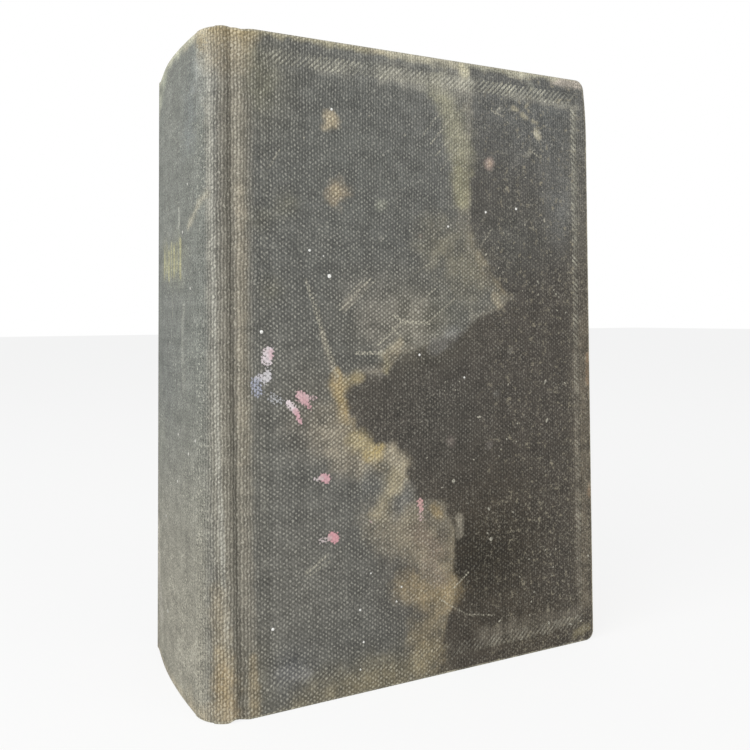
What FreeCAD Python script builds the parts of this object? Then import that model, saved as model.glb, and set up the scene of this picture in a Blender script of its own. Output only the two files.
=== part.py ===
import FreeCAD, Part
import math
import os
from FreeCAD import Vector

# A thick cloth-bound hardback book, standing on its tail edge.
# X runs from the spine (-X) to the fore edge (+X), Y through the thickness with the front cover
# at -Y, and Z up from the tail to the head. The origin is under the middle of the book.

# Overall size, in millimetres
book_height = 216.0
book_depth = 152.9
book_thickness = 75.0

# Covers: a board wrapped in cloth that is turned in over its head, tail and fore edge
board_thickness = 3.0
cloth_thickness = 0.45
turn_in = 15.0
corner_radius = 3.5
edge_bevel = 0.8
joint_bevel_width = 3.0
joint_bevel_depth = 1.0

# Blind-stamped border pressed into the cloth of each cover
border_margin = 5.8
border_joint_margin = 8.6
border_width = 3.4
border_depth = 0.12

# Spine: a nearly flat back between two rounded shoulders
crown_radius = 293.0
shoulder_radius = 11.0
shoulder_drop = 0.3
inlay_thickness = 0.7
inlay_angle = 38.0
spine_turn_in = 12.0
hollow_gap = 0.5
lining_thickness = 0.2
lining_angle = 36.0
mull_thickness = 0.2

# Joints: the groove beside each shoulder, on the line that the cover turns about
joint_setback = 9.95
groove_radius = 1.25
joint_clearance = 0.4
joint_lip = 0.5

# Pages and endpapers
square = 3.5
page_shoulder = 0.3
fore_edge_hollow = 2.2
paper_thickness = 0.2
cover_gap = 0.3
fold_seat = 0.1

# Mull: the open cloth glued over the back of the pages and on under the pastedowns
mull_flap_width = 30.0
mull_end_margin = 12.0

# Headbands: a sewn bead across the back of the pages at the head and the tail
band_size = 1.6
band_bevel = 0.5
band_angle = 58.0

# Places that follow from the sizes above
half_depth = book_depth / 2
half_thickness = book_thickness / 2
hinge_x = joint_setback - half_depth
board_edge_x = hinge_x + groove_radius + cloth_thickness + joint_clearance
cover_thickness = board_thickness + 2 * cloth_thickness
page_tail = square
page_head = book_height - square
page_fore_x = half_depth - square
pastedown_y = half_thickness - cover_thickness - paper_thickness
flyleaf_y = pastedown_y - cover_gap
page_y = flyleaf_y - paper_thickness

# Depths below the outer face of the spine at which each layer starts
inlay_depth = cloth_thickness
inlay_back = inlay_depth + inlay_thickness
spine_fold_back = inlay_back + cloth_thickness
lining_depth = inlay_back + hollow_gap
mull_depth = lining_depth + lining_thickness
page_depth = mull_depth + mull_thickness

# Centres of the arcs that draw the spine; the shoulders meet the crown without a corner
crown_x = crown_radius - half_depth
shoulder_y = half_thickness - shoulder_drop - shoulder_radius
crown_reach = crown_radius - shoulder_radius
shoulder_x = crown_x - math.sqrt(crown_reach ** 2 - shoulder_y ** 2)
tangent_angle = math.asin(shoulder_y / crown_reach)


def shoulder_point(depth, angle, side):
    """A point of a shoulder, at an angle from the face of the cover and a depth under the cloth."""
    reach = shoulder_radius - depth
    return Vector(shoulder_x - reach * math.sin(angle), side * (shoulder_y + reach * math.cos(angle)), 0)


def angle_at(x, depth):
    """The angle at which a shoulder passes a place in X."""
    return math.asin((shoulder_x - x) / (shoulder_radius - depth))


def spine_line(depth, angle):
    """The spine's outline at a depth, from the front shoulder round to the back one."""
    last = math.pi / 2 - tangent_angle
    edges = []
    for side in (-1, 1):
        points = [shoulder_point(depth, a, side) for a in (angle, (angle + last) / 2, last)]
        edges.append(Part.Arc(*points).toShape())
    crown = Vector(crown_x - (crown_radius - depth), 0, 0)
    front, back = (shoulder_point(depth, last, side) for side in (-1, 1))
    return [edges[0], Part.Arc(front, crown, back).toShape(), edges[1]]


def spine_layer(depth, thickness, angle, low, high):
    """One curved sheet of the spine, from shoulder to shoulder and between two heights."""
    outer = spine_line(depth, angle)
    inner = spine_line(depth + thickness, angle)
    ends = [
        Part.makeLine(shoulder_point(depth, angle, side), shoulder_point(depth + thickness, angle, side))
        for side in (-1, 1)
    ]
    wire = Part.Wire(Part.__sortEdges__(outer + inner + ends))
    return raise_face(Part.Face(wire), low, high)


def raise_face(face, low, high):
    """A face drawn in plan, made into a solid between two heights."""
    solid = face.extrude(Vector(0, 0, high - low))
    solid.translate(Vector(0, 0, low))
    return solid


def plan_solid(points, low, high):
    """A solid with a straight-sided plan."""
    corners = [Vector(x, y, 0) for x, y in points]
    return raise_face(Part.Face(Part.makePolygon(corners + corners[:1])), low, high)


def sheet(x_start, x_end, low, high, y_outer, thickness, side, corner=0.0):
    """A flat sheet parallel to a cover. Its outer face is y_outer from the middle of the book, and
    its two fore-edge corners may be rounded."""
    reach = corner * math.sin(math.pi / 4)
    slack = corner - reach
    start = [Vector(x_start, 0, high), Vector(x_start, 0, low)]
    if corner > 0:
        tail = Part.Arc(Vector(x_end - corner, 0, low), Vector(x_end - slack, 0, low + slack),
                        Vector(x_end, 0, low + corner)).toShape()
        head = Part.Arc(Vector(x_end, 0, high - corner), Vector(x_end - slack, 0, high - slack),
                        Vector(x_end - corner, 0, high)).toShape()
        edges = [Part.makeLine(*start), Part.makeLine(start[1], Vector(x_end - corner, 0, low)), tail,
                 Part.makeLine(Vector(x_end, 0, low + corner), Vector(x_end, 0, high - corner)), head,
                 Part.makeLine(Vector(x_end - corner, 0, high), start[0])]
        wire = Part.Wire(edges)
    else:
        corners = start + [Vector(x_end, 0, low), Vector(x_end, 0, high)]
        wire = Part.makePolygon(corners + corners[:1])
    solid = Part.Face(wire).extrude(Vector(0, -side * thickness, 0))
    solid.translate(Vector(0, side * y_outer, 0))
    return solid


def rounded_cover(inset, side):
    """The cover's form at a depth under its cloth, with softened edges and its joint edge bevelled.
    Layers of one thickness keep parallel bevels, so a bevel shrinks by less than the depth."""
    rim = edge_bevel - inset * (2 - math.sqrt(2))
    y_outer = half_thickness - inset
    thickness = cover_thickness - 2 * inset
    slab = sheet(board_edge_x, half_depth - inset, inset, book_height - inset,
                 y_outer, thickness, side, corner_radius - inset)
    faces = (side * y_outer, side * (y_outer - thickness))
    rims = [
        edge for edge in slab.Edges
        if any(abs(edge.BoundBox.YMin - y) + abs(edge.BoundBox.YMax - y) < cloth_thickness / 100 for y in faces)
        and edge.BoundBox.XMax > board_edge_x + cloth_thickness / 100
    ]
    slab = slab.makeChamfer(rim, rims)
    bevel = plan_solid(
        [(board_edge_x, side * (y_outer - joint_bevel_depth)),
         (board_edge_x + joint_bevel_width, side * y_outer),
         (board_edge_x, side * (y_outer + joint_bevel_depth))], 0, book_height)
    return slab.cut(bevel)


def make_board(side):
    """The stiff board inside a cover."""
    return rounded_cover(cloth_thickness, side)


def border_channel(side):
    """The frame-shaped band that is stamped into the cloth."""
    margins = (border_margin, border_margin + border_width)
    joint_margins = (border_joint_margin, border_joint_margin + border_width)
    outer, inner = (
        sheet(hinge_x + joint_margin, half_depth - margin, margin, book_height - margin,
              half_thickness, border_depth, side)
        for margin, joint_margin in zip(margins, joint_margins)
    )
    return outer.cut(inner)


def make_cover_cloth(side):
    """The cloth of a cover, wrapped round the board and turned in on three sides."""
    window = sheet(board_edge_x, half_depth - cloth_thickness - turn_in,
                   cloth_thickness + turn_in, book_height - cloth_thickness - turn_in,
                   half_thickness - board_thickness, 2 * cloth_thickness, side)
    return rounded_cover(0.0, side).cut(make_board(side)).cut(window).cut(border_channel(side))


def make_mull_flap(side):
    """The flap of open cloth glued to the inside of a board, under the pastedown."""
    return sheet(board_edge_x, board_edge_x + mull_flap_width,
                 page_tail + mull_end_margin + turn_in, page_head - mull_end_margin - turn_in,
                 half_thickness - cloth_thickness - board_thickness, mull_thickness, side)


def make_pastedown(side):
    """The endpaper glued to the inside of a cover, stepping up over the turn-ins and the mull."""
    board_y = half_thickness - cloth_thickness - board_thickness
    step = paper_thickness
    flap = make_mull_flap(side)
    window_x = half_depth - cloth_thickness - turn_in
    window_z = cloth_thickness + turn_in
    whole = sheet(board_edge_x, page_fore_x, page_tail, page_head,
                  board_y, cloth_thickness + paper_thickness, side)
    hollow = sheet(board_edge_x, window_x - step, window_z + step, book_height - window_z - step,
                   board_y - paper_thickness, cloth_thickness, side)
    bump = sheet(board_edge_x, board_edge_x + mull_flap_width + step,
                 page_tail + mull_end_margin + turn_in - step, page_head - mull_end_margin - turn_in + step,
                 board_y, mull_thickness + paper_thickness, side)
    return whole.cut(hollow).fuse(bump).cut(flap).cut(make_cover_cloth(side)).removeSplitter()


def make_flyleaf(side):
    """The free half of the endpaper, with the fold that runs up into the joint."""
    inner_x = hinge_x + page_shoulder + fold_seat
    outer_x = board_edge_x - joint_clearance
    top_y = half_thickness - groove_radius - cloth_thickness - fold_seat
    outline = [
        (page_fore_x, flyleaf_y), (page_fore_x, page_y), (inner_x, page_y), (inner_x, top_y),
        (outer_x, top_y), (outer_x, pastedown_y), (outer_x - paper_thickness, pastedown_y),
        (outer_x - paper_thickness, top_y - paper_thickness),
        (inner_x + paper_thickness, top_y - paper_thickness), (inner_x + paper_thickness, flyleaf_y),
    ]
    return plan_solid([(x, side * y) for x, y in outline], page_tail, page_head)


def make_text_block():
    """All the pages as one solid: backed shoulders at the spine and a hollow fore edge."""
    shoulder = hinge_x + page_shoulder
    angle = angle_at(shoulder, page_depth)
    spine = spine_line(page_depth, angle)
    edges = list(spine)
    for side in (-1, 1):
        top = shoulder_point(page_depth, angle, side)
        foot = Vector(shoulder, side * page_y, 0)
        edges += [Part.makeLine(top, foot), Part.makeLine(foot, Vector(page_fore_x, side * page_y, 0))]
    hollow = Part.Arc(Vector(page_fore_x, -page_y, 0), Vector(page_fore_x - fore_edge_hollow, 0, 0),
                      Vector(page_fore_x, page_y, 0)).toShape()
    wire = Part.Wire(Part.__sortEdges__(edges + [hollow]))
    return raise_face(Part.Face(wire), page_tail, page_head)


def make_spine_mull():
    """The open cloth glued over the back of the pages."""
    angle = angle_at(hinge_x + page_shoulder, page_depth)
    return spine_layer(mull_depth, mull_thickness, angle,
                       page_tail + mull_end_margin, page_head - mull_end_margin)


def make_spine_lining():
    """The paper lining over the mull."""
    return spine_layer(lining_depth, lining_thickness, math.radians(lining_angle), page_tail, page_head)


def make_spine_inlay():
    """The strip of card that stiffens the spine of the case."""
    return spine_layer(inlay_depth, inlay_thickness, math.radians(inlay_angle),
                       cloth_thickness, book_height - cloth_thickness)


def make_spine_cloth():
    """The cloth over the spine, turned in at the head and the tail, with the two joint grooves."""
    angle = math.radians(inlay_angle)
    outer_angle = angle_at(hinge_x, 0.0)
    cloth = spine_layer(0.0, cloth_thickness, outer_angle, 0, book_height)
    for low, high in ((0, cloth_thickness), (book_height - cloth_thickness, book_height)):
        cloth = cloth.fuse(spine_layer(0.0, spine_fold_back, angle, low, high))
    for low, high in ((0, spine_turn_in), (book_height - spine_turn_in, book_height)):
        cloth = cloth.fuse(spine_layer(inlay_back, cloth_thickness, angle, low, high))
    reach = groove_radius + 2 * cloth_thickness
    for side in (-1, 1):
        axis = Vector(hinge_x, side * half_thickness, 0)
        channel = Part.makeCylinder(groove_radius, book_height, axis)
        backing = Part.makeCylinder(groove_radius + cloth_thickness, book_height, axis)
        under_shoulder = spine_layer(0.0, reach, outer_angle, 0, book_height)
        beside_board = plan_solid(
            [(x, side * (half_thickness - depth)) for x, depth in (
                (hinge_x, joint_lip), (board_edge_x, joint_lip),
                (board_edge_x, reach), (hinge_x, reach))], 0, book_height)
        groove = backing.common(under_shoulder.fuse(beside_board))
        cloth = cloth.fuse(groove).cut(channel)
    return cloth.removeSplitter()


def make_band(low, side):
    """A headband's bead, standing on the head or under the tail of the pages."""
    bead = spine_layer(page_depth, band_size, math.radians(band_angle), low, low + band_size)
    free = low + band_size if side > 0 else low
    rims = [
        edge for edge in bead.Edges
        if abs(edge.BoundBox.ZMin - free) + abs(edge.BoundBox.ZMax - free) < band_size / 100
        and edge.Length > 2 * band_size
    ]
    return bead.makeChamfer(band_bevel, rims)


sides = {"front": -1, "back": 1}
parts = {
    "text_block": make_text_block(),
    "spine_mull": make_spine_mull(),
    "spine_lining": make_spine_lining(),
    "spine_inlay": make_spine_inlay(),
    "spine_cloth": make_spine_cloth(),
    "head_band": make_band(page_head, 1),
    "tail_band": make_band(page_tail - band_size, -1),
}
for name, side in sides.items():
    parts[name + "_board"] = make_board(side)
    parts[name + "_cover_cloth"] = make_cover_cloth(side)
    parts[name + "_mull_flap"] = make_mull_flap(side)
    parts[name + "_pastedown"] = make_pastedown(side)
    parts[name + "_flyleaf"] = make_flyleaf(side)

os.makedirs("parts", exist_ok=True)
for name, shape in parts.items():
    shape.exportStep("parts/" + name + ".step")
    box = shape.BoundBox
    print(name, "solids", len(shape.Solids), "valid", shape.isValid(), "volume", round(shape.Volume, 1),
          "X", round(box.XMin, 2), round(box.XMax, 2), "Y", round(box.YMin, 2), round(box.YMax, 2),
          "Z", round(box.ZMin, 2), round(box.ZMax, 2))
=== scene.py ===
import math

import bmesh
import bpy
import numpy as np
from mathutils import Matrix, Vector


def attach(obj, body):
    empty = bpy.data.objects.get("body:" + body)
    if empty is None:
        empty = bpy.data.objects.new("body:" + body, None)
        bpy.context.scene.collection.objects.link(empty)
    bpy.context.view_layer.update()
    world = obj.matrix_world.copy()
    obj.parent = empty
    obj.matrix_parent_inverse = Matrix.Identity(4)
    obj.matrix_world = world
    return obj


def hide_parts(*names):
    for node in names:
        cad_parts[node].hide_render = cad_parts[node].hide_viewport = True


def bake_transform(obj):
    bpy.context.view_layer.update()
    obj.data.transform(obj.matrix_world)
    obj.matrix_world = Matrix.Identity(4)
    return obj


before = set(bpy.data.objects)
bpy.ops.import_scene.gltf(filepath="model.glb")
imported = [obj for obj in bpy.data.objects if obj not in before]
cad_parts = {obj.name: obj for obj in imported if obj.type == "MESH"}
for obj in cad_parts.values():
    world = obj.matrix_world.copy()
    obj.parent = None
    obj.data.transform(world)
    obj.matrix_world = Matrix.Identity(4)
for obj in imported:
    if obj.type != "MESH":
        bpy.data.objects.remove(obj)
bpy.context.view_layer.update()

scene = bpy.context.scene
scene.view_settings.view_transform = "Standard"


# Camera. It stands in front of the cover, to the left of the spine and a little above the middle
# of the book, and looks almost level past the joint.
camera_place = Vector((-0.1419, -0.2846, 0.1241))
camera_yaw, camera_pitch, camera_roll = 0.46821, 0.032845, -0.005931
camera_focal = 820
picture_size = 750
horizon_offset = 85

ahead = Vector((math.sin(camera_yaw) * math.cos(camera_pitch),
                math.cos(camera_yaw) * math.cos(camera_pitch), math.sin(camera_pitch)))
level = Vector((math.cos(camera_yaw), -math.sin(camera_yaw), 0))
upright = level.cross(ahead)
camera_right = math.cos(camera_roll) * level + math.sin(camera_roll) * upright
camera_up = -math.sin(camera_roll) * level + math.cos(camera_roll) * upright
turned = Matrix((camera_right, camera_up, -ahead)).transposed().to_4x4()

camera = bpy.data.objects.new("camera", bpy.data.cameras.new("camera"))
scene.collection.objects.link(camera)
camera.matrix_world = Matrix.Translation(camera_place) @ turned
camera.data.sensor_width = 36
camera.data.lens = 36 * camera_focal / picture_size
camera.data.shift_y = -horizon_offset / picture_size
camera.data.clip_start = 0.01
scene.camera = camera


# Pages. About 330 cut leaves, folded in gatherings and sewn, then glued, rounded and backed, so
# that the back flares into two shoulders and the fore edge is hollow. Old rag-and-wood paper,
# cut smooth and gone brown at its edges. The nodes stack the leaves one by one.
leaf_count = 330
gathering = 16
page_half = 0.0329
page_tail, page_head = 0.0035, 0.2125
page_fore = 0.07295
fore_hollow = 0.0022
back_centre = 0.21655
back_radius = 0.29095
backing_x, backing_y, backing_radius = -0.0644, 0.0262, 0.00895
back_half = 0.0349
bend_length = 0.007


def linear(code):
    """Turns a colour written as sRGB hex into the linear values that Blender mixes."""
    parts = [int(code[i:i + 2], 16) / 255 for i in (1, 3, 5)]
    return [c / 12.92 if c <= 0.04045 else ((c + 0.055) / 1.055) ** 2.4 for c in parts] + [1.0]


def add(tree, kind, *feeds, stops=(), **settings):
    """Adds a node with its settings, and with its inputs in order or, from a dictionary, by socket."""
    node = tree.nodes.new(kind)
    for name, value in settings.items():
        setattr(node, name, value)
    for number, (position, code) in enumerate(stops):
        places = node.color_ramp.elements
        element = places[number] if number < 2 else places.new(position)
        element.position, element.color = position, linear(code)
    named = feeds[0] if feeds and isinstance(feeds[0], dict) else dict(enumerate(feeds))
    for key, value in named.items():
        if isinstance(value, bpy.types.Node):
            value = next(socket for socket in value.outputs if socket.enabled)
        if isinstance(value, bpy.types.NodeSocket):
            tree.links.new(value, node.inputs[key])
        else:
            node.inputs[key].default_value = value
    return node


def new_material(name):
    """An empty material and the tree that its section fills."""
    material = bpy.data.materials.new(name)
    material.use_nodes = True
    material.node_tree.nodes.clear()
    return material, material.node_tree


def start_growth(name, **sizes):
    """Starts a geometry node tree with named sizes. Gives the tree and its input node."""
    tree = bpy.data.node_groups.new(name, "GeometryNodeTree")
    tree.interface.new_socket("Geometry", in_out="INPUT", socket_type="NodeSocketGeometry")
    for title, value in sizes.items():
        kind = "NodeSocketVector" if isinstance(value, tuple) else "NodeSocketFloat"
        tree.interface.new_socket(title, in_out="INPUT", socket_type=kind).default_value = value
    tree.interface.new_socket("Geometry", in_out="OUTPUT", socket_type="NodeSocketGeometry")
    return tree, add(tree, "NodeGroupInput")


def end_growth(tree, instances, material, move=None):
    """Ends a tree: copies made real, moved if asked, and given their material."""
    real = add(tree, "GeometryNodeRealizeInstances", instances)
    if move is not None:
        real = add(tree, "GeometryNodeSetPosition", {"Geometry": real, "Position": move})
    done = add(tree, "GeometryNodeSetMaterial", {"Geometry": real, "Material": material})
    add(tree, "NodeGroupOutput", done)


def grow(name, mesh, tree, **sizes):
    """Runs a tree on a mesh and keeps what it makes as one plain mesh."""
    piece = bpy.data.objects.new(name, mesh)
    scene.collection.objects.link(piece)
    modifier = piece.modifiers.new("growth", "NODES")
    modifier.node_group = tree
    for item in tree.interface.items_tree:
        if item.in_out == "INPUT" and item.name in sizes:
            modifier[item.identifier] = sizes[item.name]
    view = bpy.context.evaluated_depsgraph_get()
    made = bpy.data.meshes.new_from_object(piece.evaluated_get(view))
    piece.modifiers.clear()
    piece.data = made
    return piece


def new_mesh(name, points, faces, edges=()):
    """A mesh from points in metres."""
    mesh = bpy.data.meshes.new(name)
    mesh.from_pydata([tuple(p) for p in points], list(edges), list(faces))
    mesh.update()
    return mesh


def new_piece(name, mesh, material, smooth=True):
    """A piece in the scene, with its mesh and its finish."""
    piece = bpy.data.objects.new(name, mesh)
    scene.collection.objects.link(piece)
    mesh.materials.append(material)
    mesh.polygons.foreach_set("use_smooth", [smooth] * len(mesh.polygons))
    return piece


def store(mesh, name, values):
    """Writes one number for each point of a mesh."""
    mesh.attributes.new(name, "FLOAT", "POINT").data.foreach_set("value", np.asarray(values, dtype=float))


# Cut paper edges: fibre-matt, tan, and darker in the gaps between leaves, where the dark is painted shade.
page_paper, tree = new_material("aged_page_paper")
place = add(tree, "ShaderNodeTexCoord").outputs["Object"]
drift = add(tree, "ShaderNodeTexNoise", {"Vector": place, "Scale": 38.0, "Detail": 5.0, "Roughness": 0.6})
across = add(tree, "ShaderNodeMapping", {"Vector": place, "Scale": (12, 4200, 12)})
leaf_lines = add(tree, "ShaderNodeTexNoise", {"Vector": across, "Scale": 1.0, "Detail": 2.0})
toned = add(tree, "ShaderNodeValToRGB", drift, stops=[(0.3, "#b39a70"), (0.55, "#c8b288"), (0.75, "#d3c19b")])
# Painted shade: dark lines in the gaps between the leaves.
leaf_gap_shade = add(tree, "ShaderNodeValToRGB", leaf_lines, stops=[(0.32, "#7d6848"), (0.5, "#ffffff")])
paper_colour = add(tree, "ShaderNodeMix", {
    0: 0.55, 6: toned, 7: leaf_gap_shade}, data_type="RGBA", blend_type="MULTIPLY")
relief = add(tree, "ShaderNodeBump", {"Height": leaf_lines, "Distance": 0.00008, "Strength": 0.6})
add(tree, "ShaderNodeOutputMaterial", add(tree, "ShaderNodeBsdfPrincipled", {
    "Base Color": paper_colour, "Normal": relief, "Roughness": 0.88, "Specular IOR Level": 0.25}))

# Each leaf is told where its back edge and its fore edge lie.
heights = (np.arange(leaf_count) + 0.5) / leaf_count * 2 - 1
leaf_y = heights * page_half
back_y = heights * back_half
past = np.clip(np.abs(back_y) - backing_y, 0, backing_radius * 0.98)
on_crown = back_centre - np.sqrt(back_radius ** 2 - np.minimum(np.abs(back_y), backing_y) ** 2)
on_shoulder = backing_x - np.sqrt(backing_radius ** 2 - past ** 2)
back_x = np.where(np.abs(back_y) > backing_y, on_shoulder, on_crown)
uneven = np.random.default_rng(4)
steps = np.repeat(uneven.normal(0, 1, leaf_count // gathering + 1), gathering)[:leaf_count]
fore_x = page_fore - fore_hollow * (1 - heights ** 2)
fore_x = fore_x - 0.00008 * np.abs(steps) - 0.00006 * uneven.random(leaf_count)
leaves = new_mesh("leaves", [(0, y, 0) for y in leaf_y], [])
store(leaves, "back_x", back_x)
store(leaves, "back_y", back_y)
store(leaves, "fore_x", fore_x)
store(leaves, "short", 0.00005 * np.abs(steps) + 0.00008 * uneven.random(leaf_count))

tree, given = start_growth("leaf_stack", Thickness=0.0002, Tail=page_tail, Head=page_head, Bend=bend_length)
leaf_box = add(tree, "ShaderNodeCombineXYZ", 1.0, given.outputs["Thickness"], 2.0)
leaf = add(tree, "GeometryNodeMeshCube", {
    "Size": leaf_box, "Vertices X": 9, "Vertices Y": 2, "Vertices Z": 2})
stack = add(tree, "GeometryNodeInstanceOnPoints", {"Points": given.outputs["Geometry"], "Instance": leaf})
spot = add(tree, "ShaderNodeSeparateXYZ", add(tree, "GeometryNodeInputPosition"))
share = add(tree, "ShaderNodeMath", spot.outputs[0], 0.5, operation="ADD")
share = add(tree, "ShaderNodeMath", share, 2.2, operation="POWER")
told = {key: add(tree, "GeometryNodeInputNamedAttribute", {"Name": key}, data_type="FLOAT")
        for key in ("back_x", "back_y", "fore_x", "short")}
run = add(tree, "ShaderNodeMapRange", {"Value": share, "To Min": told["back_x"], "To Max": told["fore_x"]})
from_back = add(tree, "ShaderNodeMath", run, told["back_x"], operation="SUBTRACT")
straight = add(tree, "ShaderNodeMapRange", {
    "Value": from_back, "From Max": given.outputs["Bend"], "To Min": 1.0,
    "To Max": 0.0}, interpolation_type="SMOOTHSTEP")
flare = add(tree, "ShaderNodeMath", told["back_y"], page_half / back_half - 1, operation="MULTIPLY")
flare = add(tree, "ShaderNodeMath", flare, straight, operation="MULTIPLY")
leaf_side = add(tree, "ShaderNodeMath", spot.outputs[1], flare, operation="SUBTRACT")
low_end = add(tree, "ShaderNodeMath", given.outputs["Tail"], told["short"], operation="ADD")
high_end = add(tree, "ShaderNodeMath", given.outputs["Head"], told["short"], operation="SUBTRACT")
end_height = add(tree, "ShaderNodeMapRange", {
    "Value": spot.outputs[2], "From Min": -1.0, "From Max": 1.0, "To Min": low_end, "To Max": high_end})
settled = add(tree, "ShaderNodeCombineXYZ", run, leaf_side, end_height)
end_growth(tree, stack, page_paper, settled)
pages = grow("pages", leaves, tree, Thickness=2 * page_half / leaf_count * 0.97)
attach(pages, "book_block")
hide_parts("text_block")


# Mull and back lining. Open, stiffened cotton mesh is glued over the sewn back and on inside the
# boards, and a strip of plain paper over it keeps the glue from the hollow of the spine.
# Stiffened cotton gauze: a matt cream net with dark holes, drawn coarser than it is so that it shows.
mull, tree = new_material("stiffened_mull")
place = add(tree, "ShaderNodeTexCoord").outputs["Object"]
thread_pitch = 0.0014
threads = []
for axis in (0, 2):
    run = add(tree, "ShaderNodeSeparateXYZ", place).outputs[axis]
    wave = add(tree, "ShaderNodeMath", run, 2 * math.pi / thread_pitch, operation="MULTIPLY")
    threads.append(add(tree, "ShaderNodeMath", wave, operation="COSINE"))
mesh_cloth = add(tree, "ShaderNodeMath", threads[0], threads[1], operation="MAXIMUM")
mull_colour = add(tree, "ShaderNodeValToRGB", mesh_cloth, stops=[(0.0, "#8a7a58"), (0.8, "#c9bc98")])
relief = add(tree, "ShaderNodeBump", {"Height": mesh_cloth, "Distance": 0.0001, "Strength": 0.6})
add(tree, "ShaderNodeOutputMaterial", add(tree, "ShaderNodeBsdfPrincipled", {
    "Base Color": mull_colour, "Normal": relief, "Roughness": 0.9}))

# Brown lining paper: matt and plain, with fibres in two browns, drawn coarser than they are.
lining_paper, tree = new_material("brown_lining_paper")
place = add(tree, "ShaderNodeTexCoord").outputs["Object"]
fibres = add(tree, "ShaderNodeTexNoise", {"Vector": place, "Scale": 900.0, "Detail": 4.0})
lining_colour = add(tree, "ShaderNodeValToRGB", fibres, stops=[(0.35, "#8d7350"), (0.65, "#a98f68")])
add(tree, "ShaderNodeOutputMaterial", add(tree, "ShaderNodeBsdfPrincipled", {
    "Base Color": lining_colour, "Roughness": 0.85}))


def finish_node(material, *nodes):
    """Gives carried-over CAD nodes their finish."""
    for node in nodes:
        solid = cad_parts[node]
        solid = solid if isinstance(solid, bpy.types.Object) else bpy.data.objects[solid]
        solid.data.materials.clear()
        solid.data.materials.append(material)


finish_node(mull, "spine_mull", "front_mull_flap", "back_mull_flap")
finish_node(lining_paper, "spine_lining")


# Headbands. A roll of cotton thread worked over a core of cord, one at the head and one at the
# tail of the back, glued to the backed pages. The stitches lie side by side along its curve.
band_centre_depth = 0.00285
band_radius = 0.00062
stitch_spacing = 0.00052
stripe_pitch = 0.0052
shoulder_radius, crown_radius, crown_swing = 0.011, 0.293, 0.09303

# Cotton thread in an undyed and a dyed tone: dull, dusty stripes across the band.
band_thread, tree = new_material("cotton_band_thread")
place = add(tree, "ShaderNodeTexCoord").outputs["Object"]
dust = add(tree, "ShaderNodeTexNoise", {"Vector": place, "Scale": 420.0, "Detail": 4.0})
undyed = add(tree, "ShaderNodeValToRGB", dust, stops=[(0.3, "#8f8162"), (0.7, "#c9bd9c")])
dyed = add(tree, "ShaderNodeValToRGB", dust, stops=[(0.3, "#4f4436"), (0.7, "#77654c")])
stripe = add(tree, "ShaderNodeSeparateXYZ", place).outputs[1]
stripe = add(tree, "ShaderNodeMath", stripe, 2 * math.pi / stripe_pitch, operation="MULTIPLY")
stripe = add(tree, "ShaderNodeMath", stripe, operation="SINE")
stripe = add(tree, "ShaderNodeMath", stripe, 0.0, operation="GREATER_THAN")
both = add(tree, "ShaderNodeMix", {0: stripe, 6: undyed, 7: dyed}, data_type="RGBA")
add(tree, "ShaderNodeOutputMaterial", add(tree, "ShaderNodeBsdfPrincipled", {
    "Base Color": both, "Roughness": 0.8}))


def back_outline(depth, angle, count):
    """Points along the spine's outline, a depth below its outer face, from shoulder to shoulder."""
    last = math.pi / 2 - crown_swing
    radius = shoulder_radius - depth
    crown = crown_radius - depth
    turns = np.linspace(angle, last, max(3, count // 4), endpoint=False)
    front = [(backing_x - radius * math.sin(a), -backing_y - radius * math.cos(a)) for a in turns]
    swings = np.linspace(-crown_swing, crown_swing, count // 2)
    middle = [(back_centre - crown * math.cos(t), crown * math.sin(t)) for t in swings]
    return front + middle + [(x, -y) for x, y in reversed(front)]


def ring(name, radius, thread, around=10, across=5):
    """One stitch: a loop of thread about the X axis, open nowhere."""
    points = []
    for i in range(around):
        turn = 2 * math.pi * i / around
        for j in range(across):
            tilt = 2 * math.pi * j / across
            reach = radius + thread * math.cos(tilt)
            points.append((thread * math.sin(tilt), reach * math.sin(turn), reach * math.cos(turn)))
    faces = []
    for i in range(around):
        for j in range(across):
            a, b = i * across, (i + 1) % around * across
            k = (j + 1) % across
            faces.append((a + j, a + k, b + k, b + j))
    mesh = new_mesh(name, points, faces)
    mesh.polygons.foreach_set("use_smooth", [True] * len(faces))
    return mesh


def row_tree(name, part, material):
    """A tree that sets copies of a small part along the lines of a mesh, square to a facing."""
    source = bpy.data.objects.new(name + "_part", part)
    tree, given = start_growth(name, Spacing=0.001, Facing=(0.0, 0.0, 1.0), Lean=0.0, Stretch=1.0)
    path = add(tree, "GeometryNodeMeshToCurve", {"Mesh": given.outputs["Geometry"]})
    spots = add(tree, "GeometryNodeResampleCurve", {
        "Curve": path, "Length": given.outputs["Spacing"]}, mode="LENGTH")
    along = add(tree, "GeometryNodeInputTangent")
    axes = {"Primary Axis": given.outputs["Facing"], "Secondary Axis": along}
    aligned = add(tree, "FunctionNodeAxesToRotation", axes, primary_axis="Z", secondary_axis="X")
    lean = add(tree, "ShaderNodeCombineXYZ", {2: given.outputs["Lean"]})
    lean = add(tree, "FunctionNodeEulerToRotation", lean)
    leaned = add(tree, "FunctionNodeRotateRotation", aligned, lean, rotation_space="LOCAL")
    info = add(tree, "GeometryNodeObjectInfo", {"Object": source})
    stretch = add(tree, "ShaderNodeCombineXYZ", given.outputs["Stretch"], 1.0, 1.0)
    copies = add(tree, "GeometryNodeInstanceOnPoints", {
        "Points": spots, "Instance": info.outputs["Geometry"], "Rotation": leaned, "Scale": stretch})
    end_growth(tree, copies, material)
    return tree


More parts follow.
